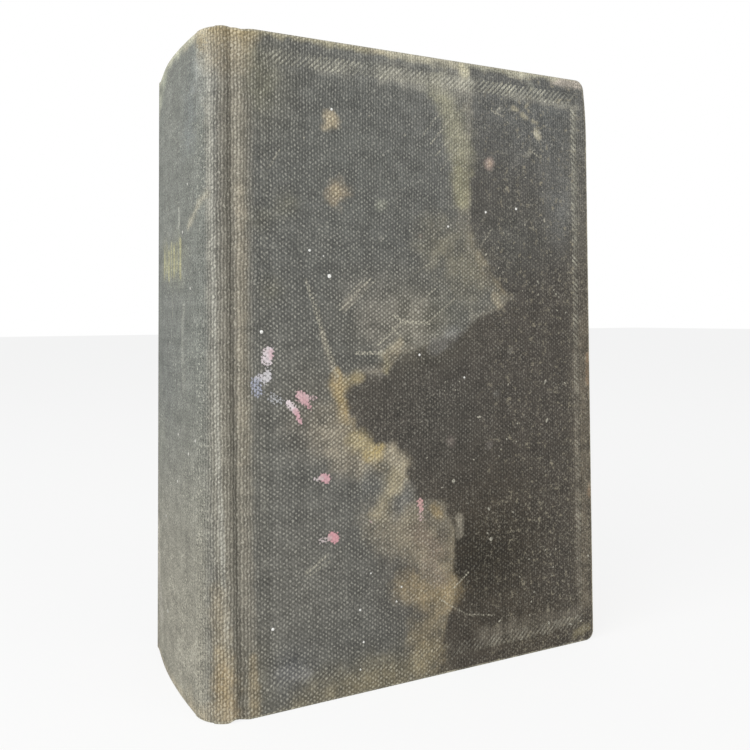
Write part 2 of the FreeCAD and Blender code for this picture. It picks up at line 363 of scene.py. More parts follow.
stitches = row_tree("stitches", ring("stitch", band_radius, stitch_spacing * 0.55), band_thread)
band_rise = band_radius + 0.0002
for name, height in (("head_band", page_head + band_rise), ("tail_band", page_tail - band_rise)):
    outline = back_outline(band_centre_depth, math.radians(58), 60)
    links = [(i, i + 1) for i in range(len(outline) - 1)]
    path = new_mesh(name, [(x, y, height) for x, y in outline], [], links)
    band = grow(name + "_stitching", path, stitches, Spacing=stitch_spacing)
    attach(band, "book_block")
    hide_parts(name)


# Endpapers. A folded sheet of stout cream paper at each end: one half is pasted to the inside of
# the cover and the other is the free leaf. The fold runs up into the joint.
hinge_x, face_y = -0.0665, 0.0375
leaf_near = 0.0329
paper_half = 0.0001

# Uncoated cream paper: matt, toned in clouds by age and foxed with small brown spots.
endpaper, tree = new_material("cream_endpaper")
place = add(tree, "ShaderNodeTexCoord").outputs["Object"]
fibres = add(tree, "ShaderNodeTexNoise", {"Vector": place, "Scale": 1500.0, "Detail": 3.0})
foxing = add(tree, "ShaderNodeTexNoise", {"Vector": place, "Scale": 55.0, "Detail": 6.0, "Roughness": 0.7})
clouds = add(tree, "ShaderNodeTexNoise", {"Vector": place, "Scale": 11.0, "Detail": 3.0})
sheet_colour = add(tree, "ShaderNodeValToRGB", clouds, stops=[(0.3, "#c6b48c"), (0.7, "#d8caa6")])
spots = add(tree, "ShaderNodeValToRGB", foxing, stops=[(0.62, "#ffffff"), (0.74, "#a98654")])
sheet_colour = add(tree, "ShaderNodeMix", {
    0: 0.6, 6: sheet_colour, 7: spots}, data_type="RGBA", blend_type="MULTIPLY")
relief = add(tree, "ShaderNodeBump", {"Height": fibres, "Distance": 0.00003, "Strength": 0.5})
add(tree, "ShaderNodeOutputMaterial", add(tree, "ShaderNodeBsdfPrincipled", {
    "Base Color": sheet_colour, "Normal": relief, "Roughness": 0.85, "Specular IOR Level": 0.3}))
finish_node(endpaper, "front_pastedown", "back_pastedown")


def thick_strip(name, line, half, low, high, rows):
    """A sheet of even thickness that follows a line in plan and stands between two heights."""
    line = [Vector(p) for p in line]
    sides = ([], [])
    for i, point in enumerate(line):
        along = (line[min(i + 1, len(line) - 1)] - line[max(i - 1, 0)]).normalized()
        off = Vector((-along.y, along.x)) * half
        sides[0].append(point + off)
        sides[1].append(point - off)
    outline = sides[0] + sides[1][::-1]
    count = len(outline)
    points = [(p.x, p.y, low + (high - low) * r / rows) for r in range(rows + 1) for p in outline]
    faces = []
    for r in range(rows):
        for i in range(count):
            a, b, following = r * count, (r + 1) * count, (i + 1) % count
            faces.append((a + i, a + following, b + following, b + i))
    flat = len(line)
    for r, turn in ((0, 1), (rows, -1)):
        base = r * count
        for i in range(flat - 1):
            quad = (base + i, base + i + 1, base + count - 2 - i, base + count - 1 - i)
            faces.append(quad[::turn])
    mesh = new_mesh(name, points, faces)
    mend_normals(mesh)
    return mesh


def mend_normals(mesh):
    """Turns the faces of a closed mesh outwards."""
    shell = bmesh.new()
    shell.from_mesh(mesh)
    bmesh.ops.remove_doubles(shell, verts=shell.verts, dist=1e-7)
    bmesh.ops.recalc_face_normals(shell, faces=shell.faces)
    shell.to_mesh(mesh)
    shell.free()
    mesh.update()


fold_path = [
    (0.45, 4.5), (0.45, 3.6), (0.5, 2.8), (0.75, 2.25), (1.1, 2.05), (1.45, 2.25), (1.6, 2.8), (1.7, 3.5),
    (1.95, 3.95), (2.3, 4.15),
]
for name, side in (("front", -1), ("back", 1)):
    free_leaf = [(hinge_x + 0.00035 + i * 0.0046, side * (leaf_near + paper_half)) for i in range(31)]
    free_leaf[-1] = (page_fore, side * (leaf_near + paper_half))
    mesh = thick_strip(name + "_leaf", free_leaf, paper_half, page_tail, page_head, 24)
    piece = new_piece(name + "_free_leaf", mesh, endpaper, False)
    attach(piece, "book_block")
    fold = [(hinge_x + x / 1000, side * (face_y - depth / 1000)) for x, depth in fold_path]
    mesh = thick_strip(name + "_fold", fold, paper_half, page_tail, page_head, 24)
    crease = new_piece(name + "_leaf_fold", mesh, endpaper)
    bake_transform(crease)
    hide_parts(name + "_flyleaf")


# Boards and spine card. Grey pulp board, die-cut and sanded, and a strip of thinner card of the
# same stuff between the two turn-ins of the spine. The cloth is glued over both.
# Pressed pulp: a rough, matt grey-brown with paler fibres in it.
pulp_board, tree = new_material("grey_pulp_board")
place = add(tree, "ShaderNodeTexCoord").outputs["Object"]
pulp = add(tree, "ShaderNodeTexNoise", {"Vector": place, "Scale": 700.0, "Detail": 6.0, "Roughness": 0.7})
relief = add(tree, "ShaderNodeBump", {"Height": pulp, "Distance": 0.0001, "Strength": 0.5})
add(tree, "ShaderNodeOutputMaterial", add(tree, "ShaderNodeBsdfPrincipled", {
    "Base Color": add(tree, "ShaderNodeValToRGB", pulp, stops=[(0.3, "#6f6658"), (0.7, "#958b78")]),
    "Normal": relief, "Roughness": 0.92}))

board_points = [(3.6, 1.9), (5.6, 0.62), (142.1, 0.62), (142.1, 3.3), (3.6, 3.3)]
board_heights = [(1.1, 0), (193, 0), (200, 0.15), (207, 0.6), (212, 1.12), (214.9, 1.48)]
for name, side in (("front", -1), ("back", 1)):
    outline = [(x, side * (face_y - d / 1000)) for x, d in board_points]
    count = len(outline)
    points = [(hinge_x + (x - (knocked if x > 100 else 0)) / 1000, y, z / 1000)
              for z, knocked in board_heights for x, y in outline]
    rows = len(board_heights) - 1
    faces = [tuple(range(count)), tuple(range((rows + 1) * count - 1, rows * count - 1, -1))]
    for r in range(rows):
        for i in range(count):
            a, b, following = r * count, (r + 1) * count, (i + 1) % count
            faces.append((a + i, b + i, b + following, a + following))
    mesh = new_mesh(name + "_board", points, faces)
    mend_normals(mesh)
    board = new_piece(name + "_pulp_board", mesh, pulp_board, False)
    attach(board, name + "_cover")
    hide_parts(name + "_board")


# Book cloth. A coarse plain-weave cotton buckram, filled with starch, dyed dark green-grey, and now
# stained by damp and paint. The warp runs up the book, 1.04 mm apart, the weft runs across it, 0.75 mm
# apart, and where the fill has rubbed off, the crowns of the threads show pale.
warp_pitch, weft_pitch = 1.04, 0.75

# Starched buckram: a dull cloth with a faint sheen, pale on its threads and dark between them. Each point of
# it carries its colour, stain and paint, worked out further below from marks that are listed there, and the
# nodes add the weave, the specks and the broken edges.
book_cloth, tree = new_material("starched_book_cloth")
woven = add(tree, "ShaderNodeUVMap", uv_map="cloth")
ground = add(tree, "ShaderNodeAttribute", attribute_name="ground")
stain = add(tree, "ShaderNodeAttribute", attribute_name="stain")
paint = add(tree, "ShaderNodeAttribute", attribute_name="paint")
clarity = ground.outputs["Alpha"]

# The threads wander a little, over the hand's width and from one crossing to the next.
moved = woven
for scale, reach in ((0.09, (1.1, 1.3, 0)), (0.8, (1.0, 0.8, 0))):
    sway = add(tree, "ShaderNodeTexNoise", {
        "Vector": woven, "Scale": scale, "Detail": 2.0}, noise_dimensions="2D")
    sway = add(tree, "ShaderNodeVectorMath", sway.outputs["Color"], (-0.5, -0.5, 0), operation="ADD")
    moved = add(tree, "ShaderNodeVectorMath", sway, reach, moved, operation="MULTIPLY_ADD")
counted = add(tree, "ShaderNodeVectorMath", moved, (1 / warp_pitch, 1 / weft_pitch, 0), operation="MULTIPLY")
cell = add(tree, "ShaderNodeVectorMath", counted, (0.5, 0.5, 0), operation="ADD")
cell = add(tree, "ShaderNodeVectorMath", cell, operation="FLOOR")
crossing_chance = add(tree, "ShaderNodeTexWhiteNoise", {"Vector": cell}, noise_dimensions="2D")
thread_count = add(tree, "ShaderNodeSeparateXYZ", cell)
warp_chance = add(tree, "ShaderNodeTexWhiteNoise", {"W": thread_count.outputs[0]}, noise_dimensions="1D")
weft_chance = add(tree, "ShaderNodeTexWhiteNoise", {"W": thread_count.outputs[1]}, noise_dimensions="1D")
grain = add(tree, "ShaderNodeTexNoise", {
    "Vector": woven, "Scale": 1.7, "Detail": 4.0, "Roughness": 0.68}, noise_dimensions="2D")
blotch = add(tree, "ShaderNodeTexNoise", {
    "Vector": woven, "Scale": 0.16, "Detail": 5.0, "Roughness": 0.62}, noise_dimensions="2D")
slanted = add(tree, "ShaderNodeMapping", {
    "Vector": woven, "Rotation": (0, 0, math.radians(-45)), "Scale": (0.2, 1.5, 1)})
streaks = add(tree, "ShaderNodeTexNoise", {
    "Vector": slanted, "Scale": 1.0, "Detail": 3.0}, noise_dimensions="2D")

# Plain weave: the thread crowns make two slanting rows and an upright rib, and where the cloth is
# stained and rubbed the rows that rise to the right stand out.
cloudy = add(tree, "ShaderNodeMapRange", blotch, 0.32, 0.68, 0.55, 1.35)
firm = add(tree, "ShaderNodeMath", stain.outputs["Alpha"], stain.outputs["Alpha"], operation="MULTIPLY")
solid = add(tree, "ShaderNodeMath", 1.02, cloudy, operation="SUBTRACT")
cloudy = add(tree, "ShaderNodeMath", firm, solid, cloudy, operation="MULTIPLY_ADD")
soaked = add(tree, "ShaderNodeMath", cloudy, stain.outputs["Alpha"], operation="MULTIPLY", use_clamp=True)
turns = add(tree, "ShaderNodeVectorMath", counted, (math.pi, math.pi, 0), operation="MULTIPLY")
turns = add(tree, "ShaderNodeSeparateXYZ", turns)
rising = add(tree, "ShaderNodeMath", turns.outputs[0], turns.outputs[1], operation="SUBTRACT")
rising = add(tree, "ShaderNodeMath", rising, operation="COSINE")
falling = add(tree, "ShaderNodeMath", turns.outputs[0], turns.outputs[1], operation="ADD")
falling = add(tree, "ShaderNodeMath", falling, operation="COSINE")
rib = add(tree, "ShaderNodeMath", turns.outputs[0], 2.0, operation="MULTIPLY")
rib = add(tree, "ShaderNodeMath", rib, operation="COSINE")
place = add(tree, "ShaderNodeSeparateXYZ", woven)
at_joint = add(tree, "ShaderNodeMapRange", place.outputs[0], 10.0, 5.0)
at_head = add(tree, "ShaderNodeMapRange", place.outputs[1], 150.0, 205.0, 0.0, 0.8)
upright = add(tree, "ShaderNodeMath", at_joint, at_head, operation="MAXIMUM")
rib_share = add(tree, "ShaderNodeMath", upright, 0.36, 0.27, operation="MULTIPLY_ADD")
weave = add(tree, "ShaderNodeMath", rib, rib_share, operation="MULTIPLY")
falling_share = add(tree, "ShaderNodeMath", upright, -0.22, 0.36, operation="MULTIPLY_ADD")
weave = add(tree, "ShaderNodeMath", falling, falling_share, weave, operation="MULTIPLY_ADD")
plain = add(tree, "ShaderNodeMath", upright, -0.14, 0.28, operation="MULTIPLY_ADD")
rising_share = add(tree, "ShaderNodeMath", soaked, 0.3, plain, operation="MULTIPLY_ADD")
weave = add(tree, "ShaderNodeMath", rising, rising_share, weave, operation="MULTIPLY_ADD")

# The painted shade between the threads, the grit in the fill, and the uneven dye of each thread.
grit = add(tree, "ShaderNodeMath", grain, 0.5, operation="SUBTRACT")
rough = add(tree, "ShaderNodeMath", clarity, -2.5, 3.6, operation="MULTIPLY_ADD")
grit = add(tree, "ShaderNodeMath", grit, rough, 1.0, operation="MULTIPLY_ADD")
thread_tone = add(tree, "ShaderNodeMath", warp_chance, weft_chance, operation="ADD")
thread_tone = add(tree, "ShaderNodeMapRange", thread_tone, 0.0, 2.0, 0.85, 1.15)
patchy = add(tree, "ShaderNodeMapRange", blotch, 0.25, 0.75, 0.72, 1.28)
tone = add(tree, "ShaderNodeMath", thread_tone, patchy, operation="MULTIPLY")
grit = add(tree, "ShaderNodeMath", grit, 0.35, operation="MAXIMUM")
tone = add(tree, "ShaderNodeMath", tone, grit, operation="MULTIPLY")
# Painted shade: the colour is darkened where the weave sinks between the threads, and less so on the upright
# rib.
painted_gap_shade = add(tree, "ShaderNodeMapRange", weave, -0.75, 0.5, 0.48, -0.1)
painted_gap_shade = add(tree, "ShaderNodeMath", painted_gap_shade, clarity, operation="MULTIPLY")
ridge = add(tree, "ShaderNodeMath", clarity, -0.16, 0.13, operation="MULTIPLY_ADD")
ridge = add(tree, "ShaderNodeMath", rib, ridge, operation="MULTIPLY")
painted_gap_shade = add(tree, "ShaderNodeMath", painted_gap_shade, ridge, operation="SUBTRACT")
painted_gap_shade = add(tree, "ShaderNodeMath", 1.0, painted_gap_shade, operation="SUBTRACT")
tone = add(tree, "ShaderNodeMath", tone, painted_gap_shade, operation="MULTIPLY")
deep = add(tree, "ShaderNodeMath", clarity, -0.38, 1.0, operation="MULTIPLY_ADD")
deep = add(tree, "ShaderNodeMath", soaked, deep, operation="MULTIPLY")
cloth_colour = add(tree, "ShaderNodeMix", {
    0: deep, 6: ground.outputs["Color"], 7: stain.outputs["Color"]}, data_type="RGBA")
cloth_colour = add(tree, "ShaderNodeVectorMath", {0: cloth_colour, "Scale": tone}, operation="SCALE")

# The pale crown of each thread, uneven from one to the next, and brighter in slanting streaks.
crown = add(tree, "ShaderNodeMapRange", weave, 0.02, 0.85, interpolation_type="SMOOTHSTEP")
luck = add(tree, "ShaderNodeMapRange", crossing_chance, 0.0, 1.0, 0.05, 1.5)
luck = add(tree, "ShaderNodeMath", luck, crown, operation="MULTIPLY")
streaked = add(tree, "ShaderNodeMapRange", streaks, 0.35, 0.65, -0.5, 0.9)
streaked = add(tree, "ShaderNodeMath", streaked, soaked, 1.0, operation="MULTIPLY_ADD")
crown_seen = add(tree, "ShaderNodeMath", luck, streaked, operation="MULTIPLY")
crown_seen = add(tree, "ShaderNodeMath", crown_seen, clarity, operation="MULTIPLY", use_clamp=True)
bare_thread = add(tree, "ShaderNodeMix", {
    0: soaked, 6: ground.outputs["Color"], 7: stain.outputs["Color"]}, data_type="RGBA")
bare_thread = add(tree, "ShaderNodeVectorMath", {0: bare_thread, "Scale": 1.15}, operation="SCALE")
bare_thread = add(tree, "ShaderNodeMix", {0: 0.31, 6: bare_thread, 7: linear("#cfccbe")}, data_type="RGBA")
cloth_colour = add(tree, "ShaderNodeMix", {0: crown_seen, 6: cloth_colour, 7: bare_thread}, data_type="RGBA")

# Pale flecks where the starch has chipped off, in drifts.
drifts = add(tree, "ShaderNodeTexNoise", {
    "Vector": woven, "Scale": 0.05, "Detail": 3.0}, noise_dimensions="2D")
drifts = add(tree, "ShaderNodeMapRange", drifts, 0.42, 0.62, 0.3, 1.0)
for across_cover, up_cover in (((98.0, 118.0), (90.0, 55.0)), ((90.0, 100.0, 0.0, 0.8), (176.0, 192.0))):
    corner = add(tree, "ShaderNodeMapRange", place.outputs[0], *across_cover)
    height = add(tree, "ShaderNodeMapRange", place.outputs[1], *up_cover)
    corner = add(tree, "ShaderNodeMath", corner, height, operation="MULTIPLY")
    drifts = add(tree, "ShaderNodeMath", drifts, corner, operation="MAXIMUM")
seen = add(tree, "ShaderNodeMath", clarity, -1.1, 1.3, operation="MULTIPLY_ADD")
drifts = add(tree, "ShaderNodeMath", drifts, seen, operation="MULTIPLY")
chipped = add(tree, "ShaderNodeTexNoise", {
    "Vector": woven, "Scale": 0.8, "Detail": 5.0, "Roughness": 0.78}, noise_dimensions="2D")
chipped = add(tree, "ShaderNodeMapRange", chipped, 0.56, 0.66)
chipped = add(tree, "ShaderNodeMath", chipped, drifts, operation="MULTIPLY")
fleck = add(tree, "ShaderNodeVectorMath", {0: ground.outputs["Color"], "Scale": 2.6}, operation="SCALE")
fleck = add(tree, "ShaderNodeMix", {0: 0.42, 6: fleck, 7: linear("#a39f90")}, data_type="RGBA")
cloth_colour = add(tree, "ShaderNodeMix", {0: chipped, 6: cloth_colour, 7: fleck}, data_type="RGBA")
scuffed = add(tree, "ShaderNodeTexNoise", {
    "Vector": woven, "Scale": 0.36, "Detail": 6.0, "Roughness": 0.8}, noise_dimensions="2D")
scuffed = add(tree, "ShaderNodeMapRange", scuffed, 0.585, 0.65, 0.0, 0.75)
for value, low, high in ((place.outputs[0], 86.0, 104.0), (clarity, 0.6, 0.4)):
    there = add(tree, "ShaderNodeMapRange", value, low, high)
    scuffed = add(tree, "ShaderNodeMath", scuffed, there, operation="MULTIPLY")
cloth_colour = add(tree, "ShaderNodeMix", {
    0: scuffed, 6: cloth_colour, 7: linear("#938c79")}, data_type="RGBA")

# Scratches: thin lines from one point to another on the cloth, with their width and strength.
scratches = [
    ((36.4, 126.2), (48.0, 137.0), 0.45, 0.7), ((37.8, 125.4), (49.6, 136.2), 0.35, 0.5),
    ((35.6, 127.6), (46.0, 137.6), 0.35, 0.4), ((24.5, 136.2), (32.2, 112.7), 0.8, 0.5),
    ((30.0, 119.0), (35.5, 105.0), 1.2, 0.6), ((50.5, 114.5), (60.7, 123.2), 0.6, 0.7),
    ((60.7, 122.4), (70.5, 121.8), 0.7, 0.9), ((57.0, 124.6), (61.0, 121.6), 0.7, 0.9),
    ((70.2, 121.9), (81.0, 130.2), 0.45, 0.5), ((42.5, 112.1), (51.3, 111.9), 0.8, 0.85),
    ((56.0, 120.4), (59.0, 117.6), 0.7, 0.6), ((62.0, 124.5), (74.4, 134.8), 0.4, 0.4),
    ((28.0, 128.0), (35.0, 106.0), 0.6, 0.35), ((62.4, 137.5), (72.8, 143.9), 0.4, 0.3),
    ((24.4, 42.3), (31.4, 46.6), 0.9, 0.6), ((25.6, 41.4), (32.4, 44.8), 0.5, 0.5),
    ((74.0, 26.0), (85.0, 19.0), 0.4, 0.55), ((85.0, 19.0), (97.0, 16.8), 0.4, 0.5),
    ((80.0, 29.2), (85.8, 33.5), 0.5, 0.6), ((92.9, 149.7), (97.2, 155.7), 0.45, 0.55),
    ((-9.0, 162.5), (-22.0, 154.0), 0.7, 0.5), ((-41.0, 134.0), (-41.5, 124.0), 0.4, 0.5),
    ((-15.0, 22.0), (-20.0, 18.7), 0.45, 0.6), ((-48.0, 34.0), (-40.0, 24.0), 0.35, 0.4),
    ((12.0, 172.0), (15.5, 178.0), 0.5, 0.4), ((72.0, 185.0), (81.0, 196.0), 0.5, 0.6),
    ((74.0, 181.0), (84.0, 192.0), 0.4, 0.55), ((69.0, 188.0), (77.0, 198.0), 0.4, 0.45),
    ((76.0, 176.0), (85.0, 187.0), 0.4, 0.45), ((98.0, 199.6), (103.0, 197.8), 0.5, 0.6),
    ((116.0, 186.0), (121.0, 183.5), 0.4, 0.5),
]
scored = None
for start, end, width, strength in scratches:
    way = Vector(end) - Vector(start)
    ahead_of = way.normalized()
    off = add(tree, "ShaderNodeVectorMath", woven, (*start, 0), operation="SUBTRACT")
    run = add(tree, "ShaderNodeVectorMath", off, (*ahead_of, 0), operation="DOT_PRODUCT")
    run = add(tree, "ShaderNodeMapRange", run.outputs["Value"], 0.0, way.length, 0.0, way.length)
    foot_x = add(tree, "ShaderNodeMath", run, ahead_of.x, operation="MULTIPLY")
    foot_y = add(tree, "ShaderNodeMath", run, ahead_of.y, operation="MULTIPLY")
    foot = add(tree, "ShaderNodeCombineXYZ", foot_x, foot_y)
    away = add(tree, "ShaderNodeVectorMath", off, foot, operation="DISTANCE").outputs["Value"]
    line = add(tree, "ShaderNodeMapRange", away, width, width * 0.4, 0.0, strength)
    scored = line if scored is None else add(tree, "ShaderNodeMath", scored, line, operation="MAXIMUM")
broken = add(tree, "ShaderNodeMapRange", grain, 0.4, 0.62, -0.15, 0.75)
broken = add(tree, "ShaderNodeMath", crown, 0.9, broken, operation="MULTIPLY_ADD")
scored = add(tree, "ShaderNodeMath", scored, broken, operation="MULTIPLY", use_clamp=True)
cloth_colour = add(tree, "ShaderNodeMix", {
    0: scored, 6: cloth_colour, 7: linear("#bbb6a4")}, data_type="RGBA")

# Paint sits on the threads and breaks up over the gaps.
broken = add(tree, "ShaderNodeMath", grain, 1.6, -0.8, operation="MULTIPLY_ADD")
broken = add(tree, "ShaderNodeMath", weave, 0.3, broken, operation="MULTIPLY_ADD")
broken = add(tree, "ShaderNodeMath", broken, paint.outputs["Alpha"], operation="ADD")
painted = add(tree, "ShaderNodeMapRange", broken, 0.36, 0.62, interpolation_type="SMOOTHSTEP")
inked = add(tree, "ShaderNodeMapRange", paint.outputs["Alpha"], 0.02, 0.12)
painted = add(tree, "ShaderNodeMath", painted, inked, operation="MULTIPLY")
# Painted shade: the paint is darker where it lies over the gaps between the threads.
paint_tone = add(tree, "ShaderNodeMapRange", weave, -0.7, 0.5, 0.8, 1.04)
paint_tone = add(tree, "ShaderNodeVectorMath", {
    0: paint.outputs["Color"], "Scale": paint_tone}, operation="SCALE")
cloth_colour = add(tree, "ShaderNodeMix", {0: painted, 6: cloth_colour, 7: paint_tone}, data_type="RGBA")

height = add(tree, "ShaderNodeMath", weave, 0.5, grain, operation="MULTIPLY_ADD")
height = add(tree, "ShaderNodeMath", painted, 0.5, height, operation="MULTIPLY_ADD")
relief = add(tree, "ShaderNodeBump", {"Height": height, "Distance": 0.00016, "Strength": 0.7})
add(tree, "ShaderNodeOutputMaterial", add(tree, "ShaderNodeBsdfPrincipled", {
    "Base Color": cloth_colour, "Normal": relief, "Roughness": 0.72, "Specular IOR Level": 0.28}))

# Lengths below are in millimetres on the cloth: s is measured from the joint across the cover,
# and backwards round the spine, and z is measured up from the tail.
book_tall, cover_wide, cover_deep = 216.0, 142.95, 3.9
shoulder_round, crown_round, shoulder_y, crown_x = 11, 293, 26.2, 283.05
book_half = 37.5
arc_start = 2.1
seam_s = arc_start - shoulder_round * math.radians(40)
spine_span, spine_middle = 54.52, -41.42
flat_turn = math.pi / 2 - crown_swing

# The edge of the damp: points (s, z), how strong the tan is there, how wide, and how brown.
tide = [
    (87.3, 216, 0.35, 7, 0.3), (87.5, 200, 0.4, 7, 0.4), (87.6, 185, 0.4, 6, 0.5),
    (87.5, 172, 0.55, 6, 0.5), (87.5, 158, 0.45, 5, 0.5), (90, 149, 0.5, 5, 0.7), (96, 141, 0.6, 4.5, 0.9),
    (102, 134.6, 0.7, 4, 1), (105.4, 131.5, 0.5, 4, 0.6), (101, 129, 0.7, 3.5, 0.7),
    (97.5, 127, 0.55, 4, 0.6), (90, 123, 0.45, 4, 0.4), (86, 120.6, 0.4, 3, 0.2), (80, 117.5, 0.3, 3, 0),
    (68, 115, 0.25, 3, 0.2), (58.5, 111, 0.6, 3, 0.8), (54, 107, 0.6, 2.5, 0.8),
    (47.5, 106, 0.35, 2.5, 0.8), (41, 103.5, 0.35, 3, 0.8), (38.2, 98, 0.8, 3, 1),
    (37.4, 93.4, 0.9, 3.2, 1), (41, 87.2, 0.9, 4, 1), (45, 81.5, 0.9, 5, 1), (49.5, 77.5, 0.9, 6, 1),
    (56.5, 79.4, 0.8, 5, 0.8), (60, 75, 0.8, 5, 0.6), (60, 68, 0.7, 5, 0.5), (63, 64, 0.6, 5, 0.5),
    (66, 62, 0.5, 5, 0.5), (72, 59.5, 0.65, 5, 0.6), (76.5, 56.5, 0.6, 6, 0.6), (80, 49, 0.6, 6, 0.6),
    (79.5, 39, 0.7, 8, 0.7), (81, 31.5, 0.7, 9, 0.9), (78, 25, 0.7, 9, 0.9), (76, 17.5, 0.6, 9, 0.8),
    (73, 9, 0.55, 9, 0.8), (72.5, 0, 0.5, 8, 0.8),
]
damp_grey, damp_brown = "#92918a", "#9a8a6a"

# Soft marks: hex colour, strength, half width, and the points that they pass through.
stains = [
    ("#bbac8f", 0.9, 2.6, [(33.7, 189.6), (33.5, 188.6)]),
    ("#c6b798", 0.6, 1.5, [(33.6, 189.4)]),
    ("#a4947a", 0.9, 3.4, [(35.9, 165.4), (35.4, 165.0)]),
    ("#b3a483", 0.5, 1.9, [(35.2, 165.4)]),
    ("#ad9a8e", 0.9, 2.2, [(96.9, 179.8)]),
    ("#b39d86", 0.5, 1.0, [(96.9, 179.9)]),
    ("#b9b29c", 0.9, 1.2, [(118.4, 193.6), (119.4, 192)]),
    ("#b0a890", 0.75, 0.9, [(107.6, 201.6), (109.4, 201)]),
    ("#b0a890", 0.75, 1.0, [(112, 199.3), (113.6, 198.4)]),
    ("#b0a890", 0.6, 0.6, [(113.4, 202.6), (114.8, 204)]),
    ("#b0a890", 0.6, 0.6, [(116.6, 197.6), (118.8, 197.2)]),
    ("#a3a094", 0.5, 0.9, [(100.5, 199.5), (102, 201)]),
    ("#9d9a8e", 0.5, 1.0, [(114.5, 184.5), (116, 187)]),
    ("#8f9080", 0.45, 1.6, [(51.4, 161.9), (53.2, 161.9)]),
    ("#8c8980", 0.5, 1.0, [(52, 150.8)]),
    ("#91817b", 0.5, 1.0, [(67.6, 152.2)]),
    ("#747059", 0.35, 4.0, [(18, 160.5)]),
    ("#747059", 0.35, 4.0, [(9.6, 155.4)]),
    ("#747059", 0.35, 4.0, [(12.5, 132.6)]),
    ("#8b8973", 0.45, 4.0, [(8, 206), (10, 197)]),
    ("#9d997f", 0.68, 4.5, [(74, 205), (80, 196), (84, 184)]),
    ("#9b9676", 0.68, 3.5, [(84, 177), (84.5, 166)]),
    ("#948b70", 0.4, 7.0, [(76, 150), (88, 138)]),
    ("#a8946a", 0.95, 3.4, [(35.8, 102.2)]),
    ("#b09a6c", 0.9, 1.7, [(35.4, 106), (36.4, 97), (38.4, 90)]),
    ("#a3946f", 0.6, 1.8, [(39, 102.6), (43.5, 104)]),
    ("#8a8173", 0.4, 6, [(24, 88), (30, 84), (38, 78)]),
    ("#a69b86", 0.65, 5.0, [(33, 88), (36, 79), (44, 75)]),
    ("#beae84", 0.8, 2.8, [(42, 84), (47, 79.5), (50, 78)]),
    ("#b39e68", 0.6, 1.6, [(46.5, 77.5), (51, 79.5)]),
    ("#b5aa92", 0.8, 3.0, [(56, 77.5), (59, 73), (56, 66)]),
    ("#a49878", 0.6, 3.2, [(57, 70), (54, 64), (51, 57)]),
    ("#6c6c69", 0.7, 3.2, [(61, 63), (58, 57)]),
    ("#6a6b69", 0.55, 3.0, [(47, 70), (50, 66)]),
    ("#a0957f", 0.58, 6.0, [(52, 54), (60, 48), (66, 46)]),
    ("#a8946c", 0.7, 1.9, [(72, 57.5), (74.0, 55.6)]),
    ("#a4987f", 0.62, 5.0, [(62, 54), (70, 44), (72, 36)]),
    ("#a89571", 0.6, 4.5, [(62, 33), (70, 28), (77, 28)]),
    ("#9c8b68", 0.5, 5.0, [(66, 15.6), (70, 8)]),
    ("#7d6c62", 0.5, 3.5, [(66, 50), (72, 44)]),
    ("#8d7f72", 0.45, 3.0, [(70, 38), (74, 33)]),
    ("#968a6b", 0.45, 6.0, [(50, 4), (66, 5)]),
    ("#968a6b", 0.4, 5.0, [(22, 2), (40, 2)]),
    ("#9d9484", 0.35, 1.3, [(38, 127.5), (46, 135)]),
    ("#474641", 0.7, 0.8, [(26.4, 133), (30.4, 120), (34.2, 108)]),
    ("#9a907f", 0.45, 0.9, [(30, 119), (33.4, 108), (35, 103)]),
    ("#a29b8e", 0.42, 7.0, [(48, 122), (56, 119), (66, 121)]),
    ("#979186", 0.25, 8.0, [(48, 131), (66, 130)]),
    ("#b6b099", 0.6, 1.5, [(52.5, 111.5), (59, 115.6)]),
    ("#a89d7c", 0.65, 1.1, [(53.8, 110), (53.4, 105.5)]),
    ("#a4977e", 0.6, 1.2, [(53.4, 110.6), (59.6, 115.4)]),
    ("#9a9388", 0.4, 1.8, [(45.5, 107), (51, 106)]),
    ("#9b9a99", 0.28, 2.4, [(72, 113), (80, 117), (82, 119)]),
    ("#aea288", 0.6, 1.6, [(98.5, 131.5), (100, 128.5)]),
    ("#92908d", 0.4, 2.2, [(24.6, 10), (16, 12.4)]),
    ("#b3a98e", 0.85, 1.5, [(44, 215.6), (58, 215.3)]),
    ("#b6b09a", 0.85, 2.4, [(56, 215.8), (84, 215.4)]),
    ("#cbc4a7", 0.9, 2.2, [(85.4, 214.4), (87, 212.6)]),
    ("#bfbaa5", 0.9, 1.7, [(107, 214.8), (115, 214.8)]),
    ("#a4a396", 0.6, 1.3, [(114.5, 213), (116.5, 210.6)]),
    ("#b5ab9e", 0.85, 2.0, [(127, 215.2), (140, 214.6)]),
    ("#ada588", 0.85, 1.9, [(-6, 216), (46, 216)]),
    ("#b0ad98", 0.85, 1.8, [(88, 216), (128, 216)]),
    ("#867d62", 0.6, 1.6, [(134, 3.5), (140, 5)]),
    ("#967a5f", 0.5, 0.9, [(141.6, 109), (141.2, 98)]),
    ("#967a5f", 0.45, 0.8, [(141.6, 59), (141.6, 55)]),
    ("#857a65", 0.45, 0.8, [(142.8, 213), (142.8, 3)]),
    ("#8b806d", 0.25, 2.0, [(139, 120), (139.5, 60), (138.6, 14)]),
    ("#a5a193", 0.55, 3.2, [(54, 207.5), (88, 207)]),
    ("#a9a597", 0.35, 2.4, [(29, 207), (40, 207)]),
    ("#a9a597", 0.4, 1.2, [(104, 206), (138, 205)]),
    ("#969384", 0.22, 1.4, [(136.4, 204), (136.4, 150)]),
    ("#857c6e", 0.35, 1.2, [(135.8, 110), (135.8, 20)]),
    ("#857e71", 0.35, 3.0, [(92, 10), (134, 11)]),
    ("#9c9a92", 0.3, 1.3, [(98.8, 96)]),
    ("#98918a", 0.3, 1.6, [(95.4, 77.8)]),
    ("#8b7f78", 0.3, 2.0, [(79.2, 80.1)]),
    ("#a19c8e", 0.5, 1.2, [(105.1, 111.3)]),
    ("#ada593", 0.6, 1.3, [(82.4, 53), (82.4, 47)]),
]
